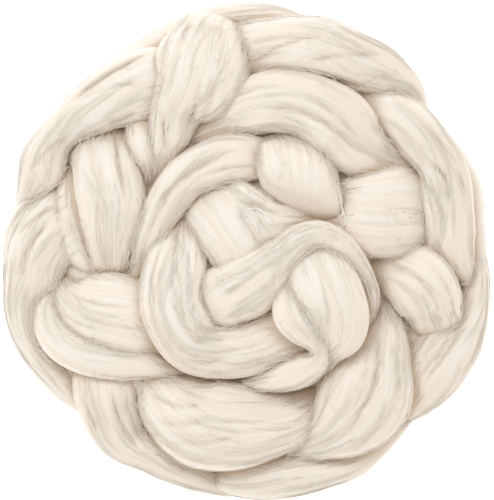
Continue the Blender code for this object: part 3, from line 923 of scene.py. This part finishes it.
def wool_piece(name, skins, material):
    """One piece of several passes, with the map of its fibres and a chart layout."""
    places, side = chart_places(skins)
    verts, quads, tris, shades = [], [], [], []
    fibre_quads, fibre_tris, chart_quads, chart_tris = [], [], [], []
    base = 0
    for number, (skin, place) in enumerate(zip(skins, places)):
        faces, ends = tube_faces(*skin.turns.shape, base)
        quads.append(faces)
        tris.append(ends)
        poles = [skin.points[0].mean(axis=0), skin.points[-1].mean(axis=0)]
        verts.append(np.vstack([skin.points.reshape(-1, 3), poles]))
        shades.append(np.append(skin.shade, [0, 0]))
        base += len(verts[-1])
        turn = np.column_stack([skin.turns, skin.turns[:, 0] + 1]) * skin.girth
        faces, ends = corners_of(skin, turn)
        shift = np.array([number * MAP_STEP, 0])
        fibre_quads.append((faces + shift) * MM)
        fibre_tris.append((ends + shift) * MM)
        flat = (np.append(skin.angle, skin.angle[0] + math.tau) - skin.angle[0]) / math.tau * skin.girth
        faces, ends = corners_of(skin, np.broadcast_to(flat, turn.shape))
        chart_quads.append((faces + place) / side)
        chart_tris.append((ends + place) / side)
    made = fill_mesh(name, np.vstack(verts), np.vstack(quads), np.vstack(tris))
    add_map(made, FIBRE_MAP, np.vstack(fibre_quads + fibre_tris))
    add_map(made, CHART_MAP, np.vstack(chart_quads + chart_tris))
    add_shade(made, np.concatenate(shades))
    own(made, material)


def inside_piece(name, verts, quads, tris, material):
    """One piece of packed wool, combed one way in plan, with full painted shade all over."""
    made = fill_mesh(name, verts, quads, tris)
    loops = np.concatenate([quads.ravel(), tris.ravel()])
    add_map(made, FIBRE_MAP, verts[loops][:, :2] * MM)
    # painted shade all over, as the packed wool lies deep in shade
    add_shade(made, np.ones(len(verts)))
    own(made, material)


def packed_wool(name, material):
    """Flattened balls of wool inside the coils, seen only deep between them."""
    verts, quads, tris = [], [], []
    base = 0
    lean = np.linspace(-math.pi / 2, math.pi / 2, BALL_ROWS + 2)[1:-1, None]
    turn = np.linspace(0, math.tau, BALL_COLUMNS, endpoint=False)
    for height, radius, half_height in HEART_BALLS:
        x = np.cos(lean) * np.cos(turn) * radius
        y = np.cos(lean) * np.sin(turn) * radius
        z = height + np.sin(lean) * np.ones(BALL_COLUMNS) * half_height
        poles = [[0, 0, height - half_height], [0, 0, height + half_height]]
        verts.append(np.vstack([np.stack([x, y, z], -1).reshape(-1, 3), poles]))
        faces, ends = tube_faces(BALL_ROWS, BALL_COLUMNS, base)
        quads.append(faces)
        tris.append(ends)
        base += len(verts[-1])
    inside_piece(name, np.vstack(verts), np.vstack(quads), np.vstack(tris), material)


def wool_bed(name, material):
    """Packed wool between the passes: a disc that rises into the narrow gaps, closed beneath."""
    cells = round(2 * BED_RADIUS / BED_PITCH)
    line = np.linspace(-1, 1, cells + 1)
    u, v = np.meshgrid(line, line, indexing="ij")
    x = u * np.sqrt(1 - v * v / 2) * BED_RADIUS
    y = v * np.sqrt(1 - u * u / 2) * BED_RADIUS
    points = np.stack([x, y], -1)
    z = np.maximum(map_at(Nest.bed, points), BED_FLOOR)
    top = np.concatenate([points, z[..., None]], -1).reshape(-1, 3)
    number = np.arange((cells + 1) ** 2).reshape(cells + 1, cells + 1)
    quads = np.stack([number[:-1, :-1], number[1:, :-1], number[1:, 1:], number[:-1, 1:]], -1)
    edge = np.concatenate([number[:-1, 0], number[-1, :-1], number[:0:-1, -1], number[0, :0:-1]])
    verts = np.append(top, [[0, 0, BED_FLOOR / 2]], axis=0)
    tris = np.stack([np.full(len(edge), len(top)), np.roll(edge, -1), edge], -1)
    inside_piece(name, verts, quads.reshape(-1, 4), tris, material)


def fibre_radius(looks, share):
    """A fibre's radius in millimetres, as a share of the usual one."""
    return share * looks.fibre_width / MM / 2


def waves(rng, t, turns, count):
    """Sines along several fibres, each over some turns and from a start of its own."""
    return np.sin(math.tau * (t * rng.uniform(*turns, (count, 1)) + rng.uniform(0, 1, (count, 1))))


def over_drape(path, height, radius):
    """Fibres from their lines in plan and their heights, lit from above."""
    points = np.concatenate([path, height[..., None]], -1)
    return points, np.broadcast_to(np.array([0.0, 0.0, 1.0]), points.shape), radius


def laid_fibres(skin, count, looks, creased=False):
    """Middle lines, normals and radii of fibres that lie along a pass, or only along its creases."""
    rng = skin.rng
    total = skin.gone[-1]
    # fibres for painted shadow are placed by the painted shade of the creases
    if creased:
        middle, angle = skin.pick_spots(skin.creased_weight(), count)
        length = rng.uniform(*CREASE_LENGTHS, count)
        lean = rng.normal(0, CREASE_LEAN, count)
    else:
        wisps = -(-count // WISP_FIBRES)
        of_wisp = np.arange(count) // WISP_FIBRES
        middle, angle = skin.pick_spots(skin.seen + LEAST_WEIGHT, wisps)
        middle = middle[of_wisp] + rng.normal(0, WISP_STRAY[0], count)
        angle = angle[of_wisp] + rng.normal(0, WISP_STRAY[1], count)
        length = rng.uniform(*WISP_LENGTHS, wisps)[of_wisp] * rng.uniform(*WISP_SHARES, count)
        lean = rng.normal(0, WISP_LEAN, wisps)[of_wisp] + rng.normal(0, WISP_SPREAD, count)
    length = np.minimum(length, LONGEST_SHARE * total)
    start = np.clip(middle - length / 2, 0, total - length)
    t = np.linspace(0, 1, FIBRE_POINTS)[None, :]
    gone = start[:, None] + t * length[:, None]
    share = np.interp(gone, skin.gone, skin.share)
    twist = (skin.turns[-1, 0] - skin.turns[0, 0]) * math.tau
    angle = angle[:, None] + lean[:, None] * (t - 0.5) * 2 - twist * (share - share[:, :1])
    swing = rng.normal(0, FIBRE_SWING, (count, 1))
    points, normals = skin.surface_at(gone, angle + swing * waves(rng, t, FIBRE_WAVES, count))
    bow = np.minimum(rng.exponential(FIBRE_BOW, (count, 1)), FIBRE_BOW_MOST)
    points = points + normals * (FIBRE_LIFT + bow * np.sin(math.pi * t))[..., None]
    least, added, most = FIBRE_RADIUS
    return points, normals, fibre_radius(looks, (least + rng.exponential(added, count)).clip(0, most))


def flyaway_fibres(skin, count, looks, drape, lengths):
    """Fibres that leave a crease and lie loosely over it and its neighbours."""
    rng = skin.rng
    gone, angle = skin.pick_spots(skin.creased_weight() + STRAY_SHARE * skin.seen, count)
    root, _ = skin.surface_at(gone, angle)
    ahead, _ = skin.surface_at(np.minimum(gone + FLYAWAY_AHEAD, skin.gone[-1]), angle)
    heading = np.arctan2(*(ahead - root)[:, 1::-1].T) + rng.choice([0, math.pi], count)
    heading = heading + rng.normal(0, FLYAWAY_STRAY, count)
    bend = rng.normal(0, FLYAWAY_BEND, count)
    t = np.linspace(0, 1, FIBRE_POINTS)[None, :]
    step = rng.uniform(*lengths, (count, 1)) / (FIBRE_POINTS - 1)
    bearing = heading[:, None] + bend[:, None] * (t - 0.5)
    path = np.stack([np.cumsum(np.cos(bearing) * step, 1), np.cumsum(np.sin(bearing) * step, 1)], -1)
    path = root[:, None, :2] + path - path.mean(axis=1, keepdims=True)
    mean, most = FLYAWAY_RISE
    rise = rng.exponential(mean, (count, 1)).clip(0, most)
    height = np.maximum(map_at(drape, path) + FLYAWAY_LIFT + rise * np.sin(math.pi * t), FLYAWAY_LIFT)
    return over_drape(path, height, fibre_radius(looks, rng.uniform(*THIN_RADII, count)))


def loose_strand(strand, rng, looks, drape):
    """Fibres that run together along a strand's line, over whatever lies under it."""
    run = blend_points(strand.points, STEPS_PER_STATION)
    gone = gone_along(run)
    t = np.linspace(0, 1, STRAND_POINTS)
    each = (strand.fibres, 1)
    begin = rng.uniform(*STRAND_STARTS, each)
    finish = rng.uniform(*STRAND_ENDS, each)
    at = (begin + (finish - begin) * t) * gone[-1]
    path = np.stack([np.interp(at, gone, column) for column in run.T], -1)
    ahead = unit(np.gradient(path, axis=1))
    aside = np.stack([-ahead[..., 1], ahead[..., 0]], -1)
    off = rng.normal(0, strand.spread, each)
    off = off * (1 + STRAND_WANDER * waves(rng, t, STRAND_WAVES, strand.fibres))
    path = path + aside * off[..., None]
    height = map_at(drape, path) + strand.lift * rng.uniform(*STRAND_LIFTS, each)
    radius = fibre_radius(looks, rng.uniform(*THIN_RADII, strand.fibres) * strand.thickness)
    return over_drape(path, height, radius)


def fibre_piece(name, bundles, material):
    """One piece of many closed three-sided fibres that come to a point at both ends."""
    lines, normals, radius = (np.concatenate(part) for part in zip(*bundles))
    count, steps = lines.shape[:2]
    rings = steps - 2
    along = unit(np.gradient(lines, axis=1))
    aside = unit(np.cross(along, normals))
    upward = np.cross(aside, along)
    thick = radius[:, None] * np.sin(math.pi * np.linspace(0, 1, steps)) ** FIBRE_TAPER
    wide, tall = FIBRE_SECTION
    sides = []
    for k in range(3):
        turn = math.tau * k / 3 + math.pi / 2
        out = aside * math.cos(turn) * wide + upward * math.sin(turn) * tall
        sides.append(lines + out * thick[..., None])
    sides = np.stack(sides, 2)

    def with_tips(around, line):
        """Rows of a value at the three sides of each fibre, then at its two tips."""
        rows = [around[:, 1:-1].reshape(count, -1, 3), line[:, :1], line[:, -1:]]
        return np.concatenate(rows, axis=1).reshape(-1, 3)

    verts = with_tips(sides, lines)
    verts[:, 2] = np.maximum(verts[:, 2], FIBRE_FLOOR)
    per = rings * 3 + 2
    base = (np.arange(count) * per)[:, None]
    quads, tris = [], []
    for k in range(3):
        n = (k + 1) % 3
        i = np.arange(rings - 1)[None, :] * 3
        quads.append(np.stack([base + i + k, base + i + 3 + k, base + i + 3 + n, base + i + n], -1))
        top = (rings - 1) * 3
        tris.append(np.stack([base + rings * 3, base + k, base + n], -1))
        tris.append(np.stack([base + rings * 3 + 1, base + top + n, base + top + k], -1))
    quads = np.concatenate(quads, 1).reshape(-1, 4)
    tris = np.concatenate(tris, 1).reshape(-1, 3)
    made = fill_mesh(name, verts, quads, tris)
    # a fibre lies in the surface: it is lit as the wool under it, a little rounder
    lit = unit(normals[:, :, None] + FIBRE_ROUNDNESS * unit(sides - lines[:, :, None]))
    made.data.normals_split_custom_set_from_vertices(with_tips(lit, normals).astype(np.float32))
    # every fibre has one spot of the map, so it is one shade all along
    across = math.ceil(math.sqrt(count))
    of_vert = np.arange(len(verts)) // per
    spot = np.stack([(of_vert % across + 0.5) / across, (of_vert // across + 0.5) / across], 1)
    loops = np.concatenate([quads.ravel(), tris.ravel()])
    step = (np.arange(len(loops)) % 4 // 2)[:, None] * SPOT_STEP / across
    add_map(made, FIBRE_MAP, spot[loops] + step)
    own(made, material)


def fill_inputs(tree, node, values):
    """Sets a node's inputs, or links them where the value is another node's output."""
    for key, value in values.items():
        if isinstance(value, bpy.types.NodeSocket):
            tree.links.new(value, node.inputs[key])
        else:
            node.inputs[key].default_value = value


def add_node(tree, kind, inputs, output=0, **settings):
    """A new node with its settings and inputs, as one of its outputs."""
    node = tree.nodes.new(kind)
    for name, value in settings.items():
        setattr(node, name, value)
    fill_inputs(tree, node, inputs)
    return node.outputs[output]


def math_node(tree, operation, *values):
    """The result of a sum on outputs or numbers."""
    return add_node(tree, "ShaderNodeMath", dict(enumerate(values)), operation=operation)


def mapped(tree, span, value, to=(0.0, 1.0)):
    """A value mapped from one span to another, and held inside it."""
    names = ("Value", "From Min", "From Max", "To Min", "To Max")
    return add_node(tree, "ShaderNodeMapRange", dict(zip(names, (value, *span, *to))), "Result")


def mixed_colour(tree, factor, first, second):
    """Two colours, each an output or a value, mixed by a factor."""
    sockets, result = MIX_SOCKETS
    inputs = dict(zip(sockets, (factor, first, second)))
    return add_node(tree, "ShaderNodeMix", inputs, result, data_type="RGBA")


def stretched_noise(tree, u, v, per_metre, width, detail):
    """Noise drawn out along the fibres: blotches of a given width across them."""
    place = add_node(tree, "ShaderNodeCombineXYZ", {
        "X": math_node(tree, "MULTIPLY", u, per_metre),
        "Y": math_node(tree, "DIVIDE", v, width),
    })
    return add_node(tree, "ShaderNodeTexNoise", {
        "Vector": place, "Scale": 1.0, "Detail": detail, "Roughness": STREAK_NOISE_ROUGHNESS}, "Fac")


def combed_fibres_group():
    """Shader group: streaks of combed fibre, as a tone and as a height, from a map in metres."""
    group = bpy.data.node_groups.new("combed_fibres", "ShaderNodeTree")
    group.interface.new_socket(name="Map", in_out="INPUT", socket_type="NodeSocketVector")
    for name, value in (("Pitch", STREAK_PITCH), ("Wander", STREAK_WANDER)):
        socket = group.interface.new_socket(name=name, in_out="INPUT", socket_type="NodeSocketFloat")
        socket.default_value = value
    for name in ("Tone", "Height", "Cast"):
        group.interface.new_socket(name=name, in_out="OUTPUT", socket_type="NodeSocketFloat")
    enter = group.nodes.new("NodeGroupInput").outputs
    split = group.nodes.new("ShaderNodeSeparateXYZ")
    fill_inputs(group, split, {"Vector": enter["Map"]})
    u, v = split.outputs["X"], split.outputs["Y"]
    drift = math_node(group, "SUBTRACT", stretched_noise(group, u, v, *STREAK_DRIFT), 0.5)
    v = math_node(group, "ADD", v, math_node(group, "MULTIPLY", drift, enter["Wander"]))

    def layer(streaks):
        width = math_node(group, "MULTIPLY", enter["Pitch"], streaks.pitches)
        return stretched_noise(group, u, v, streaks.per_metre, width, streaks.detail)

    middle, thin = layer(MIDDLE_STREAKS), layer(THIN_STREAKS)
    patches = mapped(group, PATCH_RANGE, layer(THIN_PATCHES))
    patchy = math_node(group, "MULTIPLY", math_node(group, "SUBTRACT", thin, 0.5), patches)
    tone = math_node(group, "MULTIPLY", layer(BROAD_STREAKS), BROAD_STREAKS.tone)
    tone = math_node(group, "MULTIPLY_ADD", middle, MIDDLE_STREAKS.tone, tone)
    tone = math_node(group, "MULTIPLY_ADD", patchy, THIN_STREAKS.tone, tone)
    relief = math_node(group, "MULTIPLY", middle, RELIEF_SHARE)
    fill_inputs(group, group.nodes.new("NodeGroupOutput"), {
        "Tone": math_node(group, "ADD", tone, TONE_LEVEL),
        "Height": math_node(group, "MULTIPLY_ADD", thin, RELIEF_SHARE, relief),
        "Cast": mapped(group, COOL_RANGE, layer(COOL_PATCHES)),
    })
    return group


def new_material(name):
    """A new material, its node tree and its shader."""
    material = bpy.data.materials.new(name)
    material.use_nodes = True
    tree = material.node_tree
    return material, tree, tree.nodes["Principled BSDF"]


def fibre_map(tree):
    """Place on the map that runs along the fibres."""
    return add_node(tree, "ShaderNodeUVMap", {}, "UV", uv_map=FIBRE_MAP)


def wool_material(name, looks, pitch):
    """Combed wool: pale streaks on cream, with shade painted into the folds and hollows, softly lit through.
    """
    material, tree, shader = new_material(name)
    fibres = tree.nodes.new("ShaderNodeGroup")
    fibres.node_tree = bpy.data.node_groups.get("combed_fibres") or combed_fibres_group()
    fill_inputs(tree, fibres, {"Map": fibre_map(tree), "Pitch": pitch})
    tone = mapped(tree, TONE_RANGE, fibres.outputs["Tone"])
    pale = mixed_colour(tree, fibres.outputs["Cast"], looks.cool_colour, looks.pale_colour)
    colour = mixed_colour(tree, tone, looks.wool_colour, pale)
    # painted shade: the attribute mixes the colour towards the painted shade colour
    fold = add_node(tree, "ShaderNodeAttribute", {}, "Fac", attribute_name=PAINTED_SHADE)
    depth = math_node(tree, "MULTIPLY", fold, looks.painted_shade_weight)
    fill_inputs(tree, shader, {
        **WOOL_FINISH,
        "Base Color": mixed_colour(tree, depth, colour, looks.painted_shade_colour),
        "Roughness": mapped(tree, (0.0, 1.0), tone, STREAK_ROUGHNESS),
        "Sheen Weight": looks.sheen,
        "Subsurface Weight": looks.soft_light,
        "Normal": add_node(tree, "ShaderNodeBump", {
            "Strength": RELIEF_STRENGTH,
            "Distance": looks.streak_height,
            "Height": fibres.outputs["Height"],
        }),
    })
    return material


def fibre_material(name, looks, colour):
    """A single fibre's wool: one colour all along it, a little darker or paler than the next's."""
    material, tree, shader = new_material(name)
    noise = add_node(tree, "ShaderNodeTexNoise", {"Vector": fibre_map(tree), "Scale": FIBRE_NOISE}, "Fac")
    shades = [tuple(part * level for part in colour[:3]) + (1.0,) for level in FIBRE_LEVELS]
    fill_inputs(tree, shader, {
        **WOOL_FINISH,
        "Base Color": mixed_colour(tree, mapped(tree, PATCH_RANGE, noise), *shades),
        "Roughness": FIBRE_ROUGHNESS,
        "Sheen Weight": looks.sheen,
        "Subsurface Weight": 0.0,
    })
    return material


def upper_skins(rows, looks):
    """The passes of one coil."""
    made = []
    for row in rows:
        seed = sum(ord(letter) * (place + 1) for place, letter in enumerate(row.name))
        made.append(Skin(row, FINE, seed, looks, FOLDS.get(row.name, ())))
    return made


def side_skins(looks):
    """The lobes round the side."""
    made = []
    for index, outside in enumerate(SIDE_RADII):
        middle = math.tau * index / len(SIDE_RADII)
        stations = []
        for share, inset, width in SIDE_LOBE:
            radius = outside - SIDE_LOBE_HALF_WIDTH - inset
            x, y = turned(radius, 0, middle + share * SIDE_LOBE_SWEEP)
            stations.append((x, y, plunge(share + 0.5, SIDE_LOBE_HEIGHTS), width * SIDE_LOBE_HALF_WIDTH))
        row = Pass(f"side_lobe_{index}", SIDE_TWIST, stations, crown=1)
        skin = Skin(row, COARSE, SIDE_SEED + index, looks)
        skin.lie_flat(FLAT_STEP * (index + SIDE_FLATS))
        made.append(skin)
    return made


def under_skins(looks):
    """The lobes beneath."""
    made = []
    stray, pace = UNEVEN_TURNS
    for ring in UNDER_RINGS:
        for index in range(ring.lobes):
            middle = math.tau * (index + stray * math.sin(pace * index)) / ring.lobes
            stations = []
            for i, width in enumerate(UNDER_LOBE_WIDTHS):
                share = i / (len(UNDER_LOBE_WIDTHS) - 1)
                along = (share - 0.5) * ring.length
                out, aside = ring.radius + along * math.sin(ring.slant), along * math.cos(ring.slant)
                x, y = turned(out, aside, middle)
                stations.append((x, y, plunge(share, UNDER_LOBE_HEIGHTS), width * ring.half_width))
            row = Pass(f"under_lobe_{len(made)}", UNDER_TWIST, stations, crown=1)
            skin = Skin(row, COARSE, UNDER_SEED + len(made), looks)
            skin.lie_flat(FLAT_STEP * len(made))
            made.append(skin)
    return made


class Nest:
    """Skins of every coil, made together once so that each knows what lies over it."""

    made_for = None
    coils = {}
    drape = None
    bed = None

    @classmethod
    def skins(cls, looks, *names):
        """Skins of the named coils, in order, or of all of them."""
        made_for = (looks.lock_height, looks.fold_depth)
        if cls.made_for != made_for:
            cls.made_for = made_for
            cls.coils = {coil: upper_skins(rows, looks) for coil, rows in COILS.items()}
            cls.coils["side_lobes"] = side_skins(looks)
            every = [skin for skins in cls.coils.values() for skin in skins]
            heights = top_heights(every)
            cls.bed = bed_heights(heights)
            cls.drape = shade_hollows(every, heights)
            # the side lobes keep less of the painted hollow shade
            for skin in cls.coils["side_lobes"]:
                skin.shade = skin.shade * SIDE_SHADE
            for skin in every:
                skin.mark_seen(cls.drape)
        return [skin for name in names or cls.coils for skin in cls.coils[name]]


ColourProperty = partial(FloatVectorProperty, subtype="COLOR", size=4, min=0, max=1)
LengthProperty = partial(FloatProperty, unit="LENGTH")


class RovingLooks(bpy.types.PropertyGroup):
    """Finish of the wool."""

    wool_colour: ColourProperty(
        name="Wool", description="Colour of the darker streaks", default=(0.82, 0.715, 0.61, 1.0))
    pale_colour: ColourProperty(
        name="Pale streaks", description="Colour of the palest streaks", default=(0.945, 0.882, 0.82, 1.0))
    cool_colour: ColourProperty(
        name="Cool streaks", description="Colour of the palest streaks where the wool is cooler",
        default=(0.928, 0.885, 0.846, 1.0))
    # colour of the shade painted into folds, splits, valleys and hollows
    painted_shade_colour: ColourProperty(
        name="Folds", description="Colour deep in the folds", default=(0.58, 0.44, 0.30, 1.0))
    pale_fibre: ColourProperty(
        name="Pale fibres", description="Colour of the palest single fibres",
        default=(0.975, 0.875, 0.765, 1.0))
    # fibres laid in and across the creases are darker as painted shadow
    shadow_fibre_colour: ColourProperty(
        name="Dark fibres", description="Colour of the darker single fibres",
        default=(0.71, 0.59, 0.465, 1.0))
    # loose strands are real fibre, painted paler than the wool as highlight on the ridges they lie on
    strand_highlight_colour: ColourProperty(
        name="Loose strands", description="Colour of the loose strands", default=(1.0, 0.94, 0.87, 1.0))
    # how far the painted shade takes the wool towards its colour
    painted_shade_weight: FloatProperty(
        name="Fold darkness", description="How far a fold takes its own colour", min=0, max=1, default=0.55)
    fibre_pitch: LengthProperty(
        name="Streak pitch", description="Distance between streaks",
        min=0.0001, max=0.005, default=STREAK_PITCH)
    streak_height: LengthProperty(
        name="Streak height", description="Height of the streaks' relief", min=0, max=0.002, default=0.00006)
    lock_height: FloatProperty(
        name="Lock height", description="Scale of the raised locks", min=0, max=3, default=1.0)
    fold_depth: FloatProperty(
        name="Fold depth", description="Scale of the folds", min=0, max=3, default=1.0)
    sheen: FloatProperty(
        name="Sheen", description="Weight of the silky sheen", min=0, max=1, default=0.45)
    soft_light: FloatProperty(
        name="Soft light", description="Share of the light that spreads in the wool",
        min=0, max=1, default=0.1)
    fibre_width: LengthProperty(
        name="Fibre width", description="Width of the single fibres", min=0.00002, max=0.001, default=0.00018)
    fibres: IntProperty(
        name="Fibres", description="Fibres laid on the passes", min=0, max=14000, default=6000)
    # dark fibres in and across the creases stand in for the shadow there
    dark_fibres: IntProperty(
        name="Dark fibres", description="Fibres laid along the creases", min=0, max=5000, default=1000)
    shadow_fuzz: IntProperty(
        name="Dark fuzz", description="Short fibres across the creases", min=0, max=5000, default=900)
    flyaways: IntProperty(
        name="Flyaways", description="Fibres that stand off", min=0, max=5000, default=2600)


class StageLooks(bpy.types.PropertyGroup):
    """Floor, light and camera."""

    floor_colour: ColourProperty(
        name="Floor", description="Colour of the floor", default=(0.95, 0.95, 0.95, 1.0))
    floor_glow: FloatProperty(
        name="Floor glow", description="Strength of the floor's own white", min=0, max=2, default=0.75)
    sky: FloatProperty(
        name="Room light", description="Strength of the even light", min=0, max=5, default=0.76)
    key_watts: FloatProperty(
        name="Key light", description="Power of the large light at the upper left, in watts",
        min=0, max=500, default=18.3)
    camera_height: LengthProperty(
        name="Camera height", description="Height of the camera over the table",
        min=0.5, max=10, default=2.5)
    view_height: LengthProperty(
        name="View height", description="Height of the picture in the plane of the outer coil",
        min=0.1, max=1, default=0.230)


class NestOperator:
    """What the operators share."""

    bl_options = {"REGISTER", "UNDO"}

    def coil(self, context, name):
        """Make one coil of the nest."""
        looks = context.scene.roving_looks
        wool_piece(name, Nest.skins(looks, name), wool_material(f"wool_{name}", looks, looks.fibre_pitch))
        return {"FINISHED"}


class ROVING_OT_centre_coil(NestOperator, bpy.types.Operator):
    """Make the ball, the strand round it and the lobe in the middle of the nest"""

    bl_idname = "roving.centre_coil"
    bl_label = "Centre coil"

    def execute(self, context):
        return self.coil(context, "centre_coil")


class ROVING_OT_second_coil(NestOperator, bpy.types.Operator):
    """Make the coil that lies round the centre"""

    bl_idname = "roving.second_coil"
    bl_label = "Second coil"

    def execute(self, context):
        return self.coil(context, "second_coil")


class ROVING_OT_outer_coil(NestOperator, bpy.types.Operator):
    """Make the plump passes of the outer coil"""

    bl_idname = "roving.outer_coil"
    bl_label = "Outer coil"

    def execute(self, context):
        self.coil(context, "outer_coil_left")
        return self.coil(context, "outer_coil_right")


class ROVING_OT_rim(NestOperator, bpy.types.Operator):
    """Make the lower strands that show past the outer coil"""

    bl_idname = "roving.rim"
    bl_label = "Rim strands"

    def execute(self, context):
        return self.coil(context, "rim_strands")


class ROVING_OT_back(NestOperator, bpy.types.Operator):
    """Make the lobes of the side and of the underside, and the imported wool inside"""

    bl_idname = "roving.back"
    bl_label = "Side and underside"

    def execute(self, context):
        looks = context.scene.roving_looks
        back = wool_material("wool_back", looks, looks.fibre_pitch)
        inside = wool_material("wool_inside", looks, INSIDE_PITCH)
        wool_piece("side_lobes", Nest.skins(looks, "side_lobes"), back)
        wool_piece("under_lobes", under_skins(looks), back)
        packed_wool("packed_wool", inside)
        wool_bed("packed_bed", inside)
        return {"FINISHED"}


class ROVING_OT_fibres(NestOperator, bpy.types.Operator):
    """Lay single fibres along every pass, dark ones in and across the creases as painted shadow, and let a
    few stand off
    """

    bl_idname = "roving.fibres"
    bl_label = "Fibres"

    def execute(self, context):
        looks = context.scene.roving_looks
        pale = fibre_material("wool_fibres_pale", looks, looks.pale_fibre)
        dark = fibre_material("wool_fibres_dark", looks, looks.shadow_fibre_colour)
        # the strands' paler colour is painted highlight on the fold's ridge
        bright = fibre_material("wool_strands", looks, looks.strand_highlight_colour)
        skins = Nest.skins(looks)
        areas = np.array([skin.seen.sum() for skin in skins])
        laid = dict(zip(skins, (looks.fibres * areas / areas.sum()).astype(int)))
        for name, coils in FIBRE_PIECES.items():
            bundles = [laid_fibres(skin, laid[skin], looks) for skin in Nest.skins(looks, *coils)]
            fibre_piece(name, bundles, pale)
        creases = np.array([skin.creased_weight().sum() for skin in skins])
        creases = creases / creases.sum()

        def shared(count, lay, *options):
            """Bundles of fibres, each skin's as many as its creases call for."""
            counts = (count * creases).astype(int)
            return [lay(skin, number, looks, *options) for skin, number in zip(skins, counts)]

        # dark fibres along and across the creases: painted shadow
        creased = shared(looks.dark_fibres, laid_fibres, True)
        fuzz = shared(looks.shadow_fuzz, flyaway_fibres, Nest.drape, FUZZ_LENGTHS)
        fibre_piece("dark_fibres", creased + fuzz, dark)
        flyaways = shared(looks.flyaways, flyaway_fibres, Nest.drape, FLYAWAY_LENGTHS)
        fibre_piece("flyaway_fibres", flyaways, pale)
        rng = np.random.default_rng(STRAND_SEED)
        strands = [loose_strand(strand, rng, looks, Nest.drape) for strand in LOOSE_STRANDS]
        fibre_piece("loose_strands", strands, bright)
        return {"FINISHED"}


def lay_floor(stage):
    """A plain pale floor, so wide that its edges are never seen."""
    corners = np.array([[-1, -1, 0], [1, -1, 0], [1, 1, 0], [-1, 1, 0]]) * FLOOR_REACH
    floor = fill_mesh("floor", corners, np.array([[0, 1, 2, 3]]), np.zeros((0, 3), int))
    floor.location.z = -FLOOR_DROP
    material, tree, shader = new_material("floor_white")
    fill_inputs(tree, shader, {
        "Base Color": stage.floor_colour,
        "Roughness": FLOOR_ROUGHNESS,
        "Emission Color": WHITE,
        "Emission Strength": stage.floor_glow,
    })
    floor.data.materials.append(material)


def light_room(stage, scene):
    """One large soft light, aimed at the nest, and an even light all round."""
    data = bpy.data.lights.new("key_light", "AREA")
    data.energy = stage.key_watts
    data.color = LIGHT_COLOUR
    data.shape = "DISK"
    data.size = LIGHT_SIZE
    lamp = bpy.data.objects.new("key_light", data)
    lamp.location = LIGHT_PLACE
    lamp.rotation_euler = (-Vector(LIGHT_PLACE)).to_track_quat("-Z", "Y").to_euler()
    scene.collection.objects.link(lamp)
    scene.world = bpy.data.worlds.new("room")
    scene.world.use_nodes = True
    tree = scene.world.node_tree
    fill_inputs(tree, tree.nodes["Background"], {"Color": ROOM_COLOUR, "Strength": stage.sky})
    scene.view_settings.view_transform = "Standard"


def hang_camera(stage, scene):
    """A camera straight above, which looks down at the middle of the nest."""
    data = bpy.data.cameras.new("camera")
    data.sensor_width = SENSOR_WIDTH
    data.lens = SENSOR_WIDTH * (stage.camera_height - COIL_HEIGHT) / stage.view_height
    camera = bpy.data.objects.new("camera", data)
    camera.location = (0, 0, stage.camera_height)
    scene.collection.objects.link(camera)
    scene.camera = camera


class ROVING_OT_stage(NestOperator, bpy.types.Operator):
    """Set up the pale floor, the soft light and the camera straight above"""

    bl_idname = "roving.stage"
    bl_label = "Stage"

    def execute(self, context):
        stage = context.scene.stage_looks
        lay_floor(stage)
        light_room(stage, context.scene)
        hang_camera(stage, context.scene)
        return {"FINISHED"}


class ROVING_PT_panel(bpy.types.Panel):
    """Steps that dress the nest, in order"""

    bl_label = "Wool roving nest"
    bl_idname = "ROVING_PT_panel"
    bl_space_type = "VIEW_3D"
    bl_region_type = "UI"
    bl_category = "Roving"

    def draw(self, context):
        for looks in (context.scene.roving_looks, context.scene.stage_looks):
            for name in looks.__annotations__:
                self.layout.prop(looks, name)
        for operator in OPERATORS:
            self.layout.operator(operator.bl_idname)


OPERATORS = (
    ROVING_OT_centre_coil,
    ROVING_OT_second_coil,
    ROVING_OT_outer_coil,
    ROVING_OT_rim,
    ROVING_OT_back,
    ROVING_OT_fibres,
    ROVING_OT_stage,
)
CLASSES = (RovingLooks, StageLooks, *OPERATORS, ROVING_PT_panel)


def register():
    for cls in CLASSES:
        bpy.utils.register_class(cls)
    bpy.types.Scene.roving_looks = PointerProperty(type=RovingLooks)
    bpy.types.Scene.stage_looks = PointerProperty(type=StageLooks)


def unregister():
    del bpy.types.Scene.stage_looks
    del bpy.types.Scene.roving_looks
    for cls in reversed(CLASSES):
        bpy.utils.unregister_class(cls)


def main():
    register()
    bpy.ops.roving.centre_coil()
    bpy.ops.roving.second_coil()
    bpy.ops.roving.outer_coil()
    bpy.ops.roving.rim()
    bpy.ops.roving.back()
    bpy.ops.roving.fibres()
    bpy.ops.roving.stage()


if __name__ == "__main__":
    main()
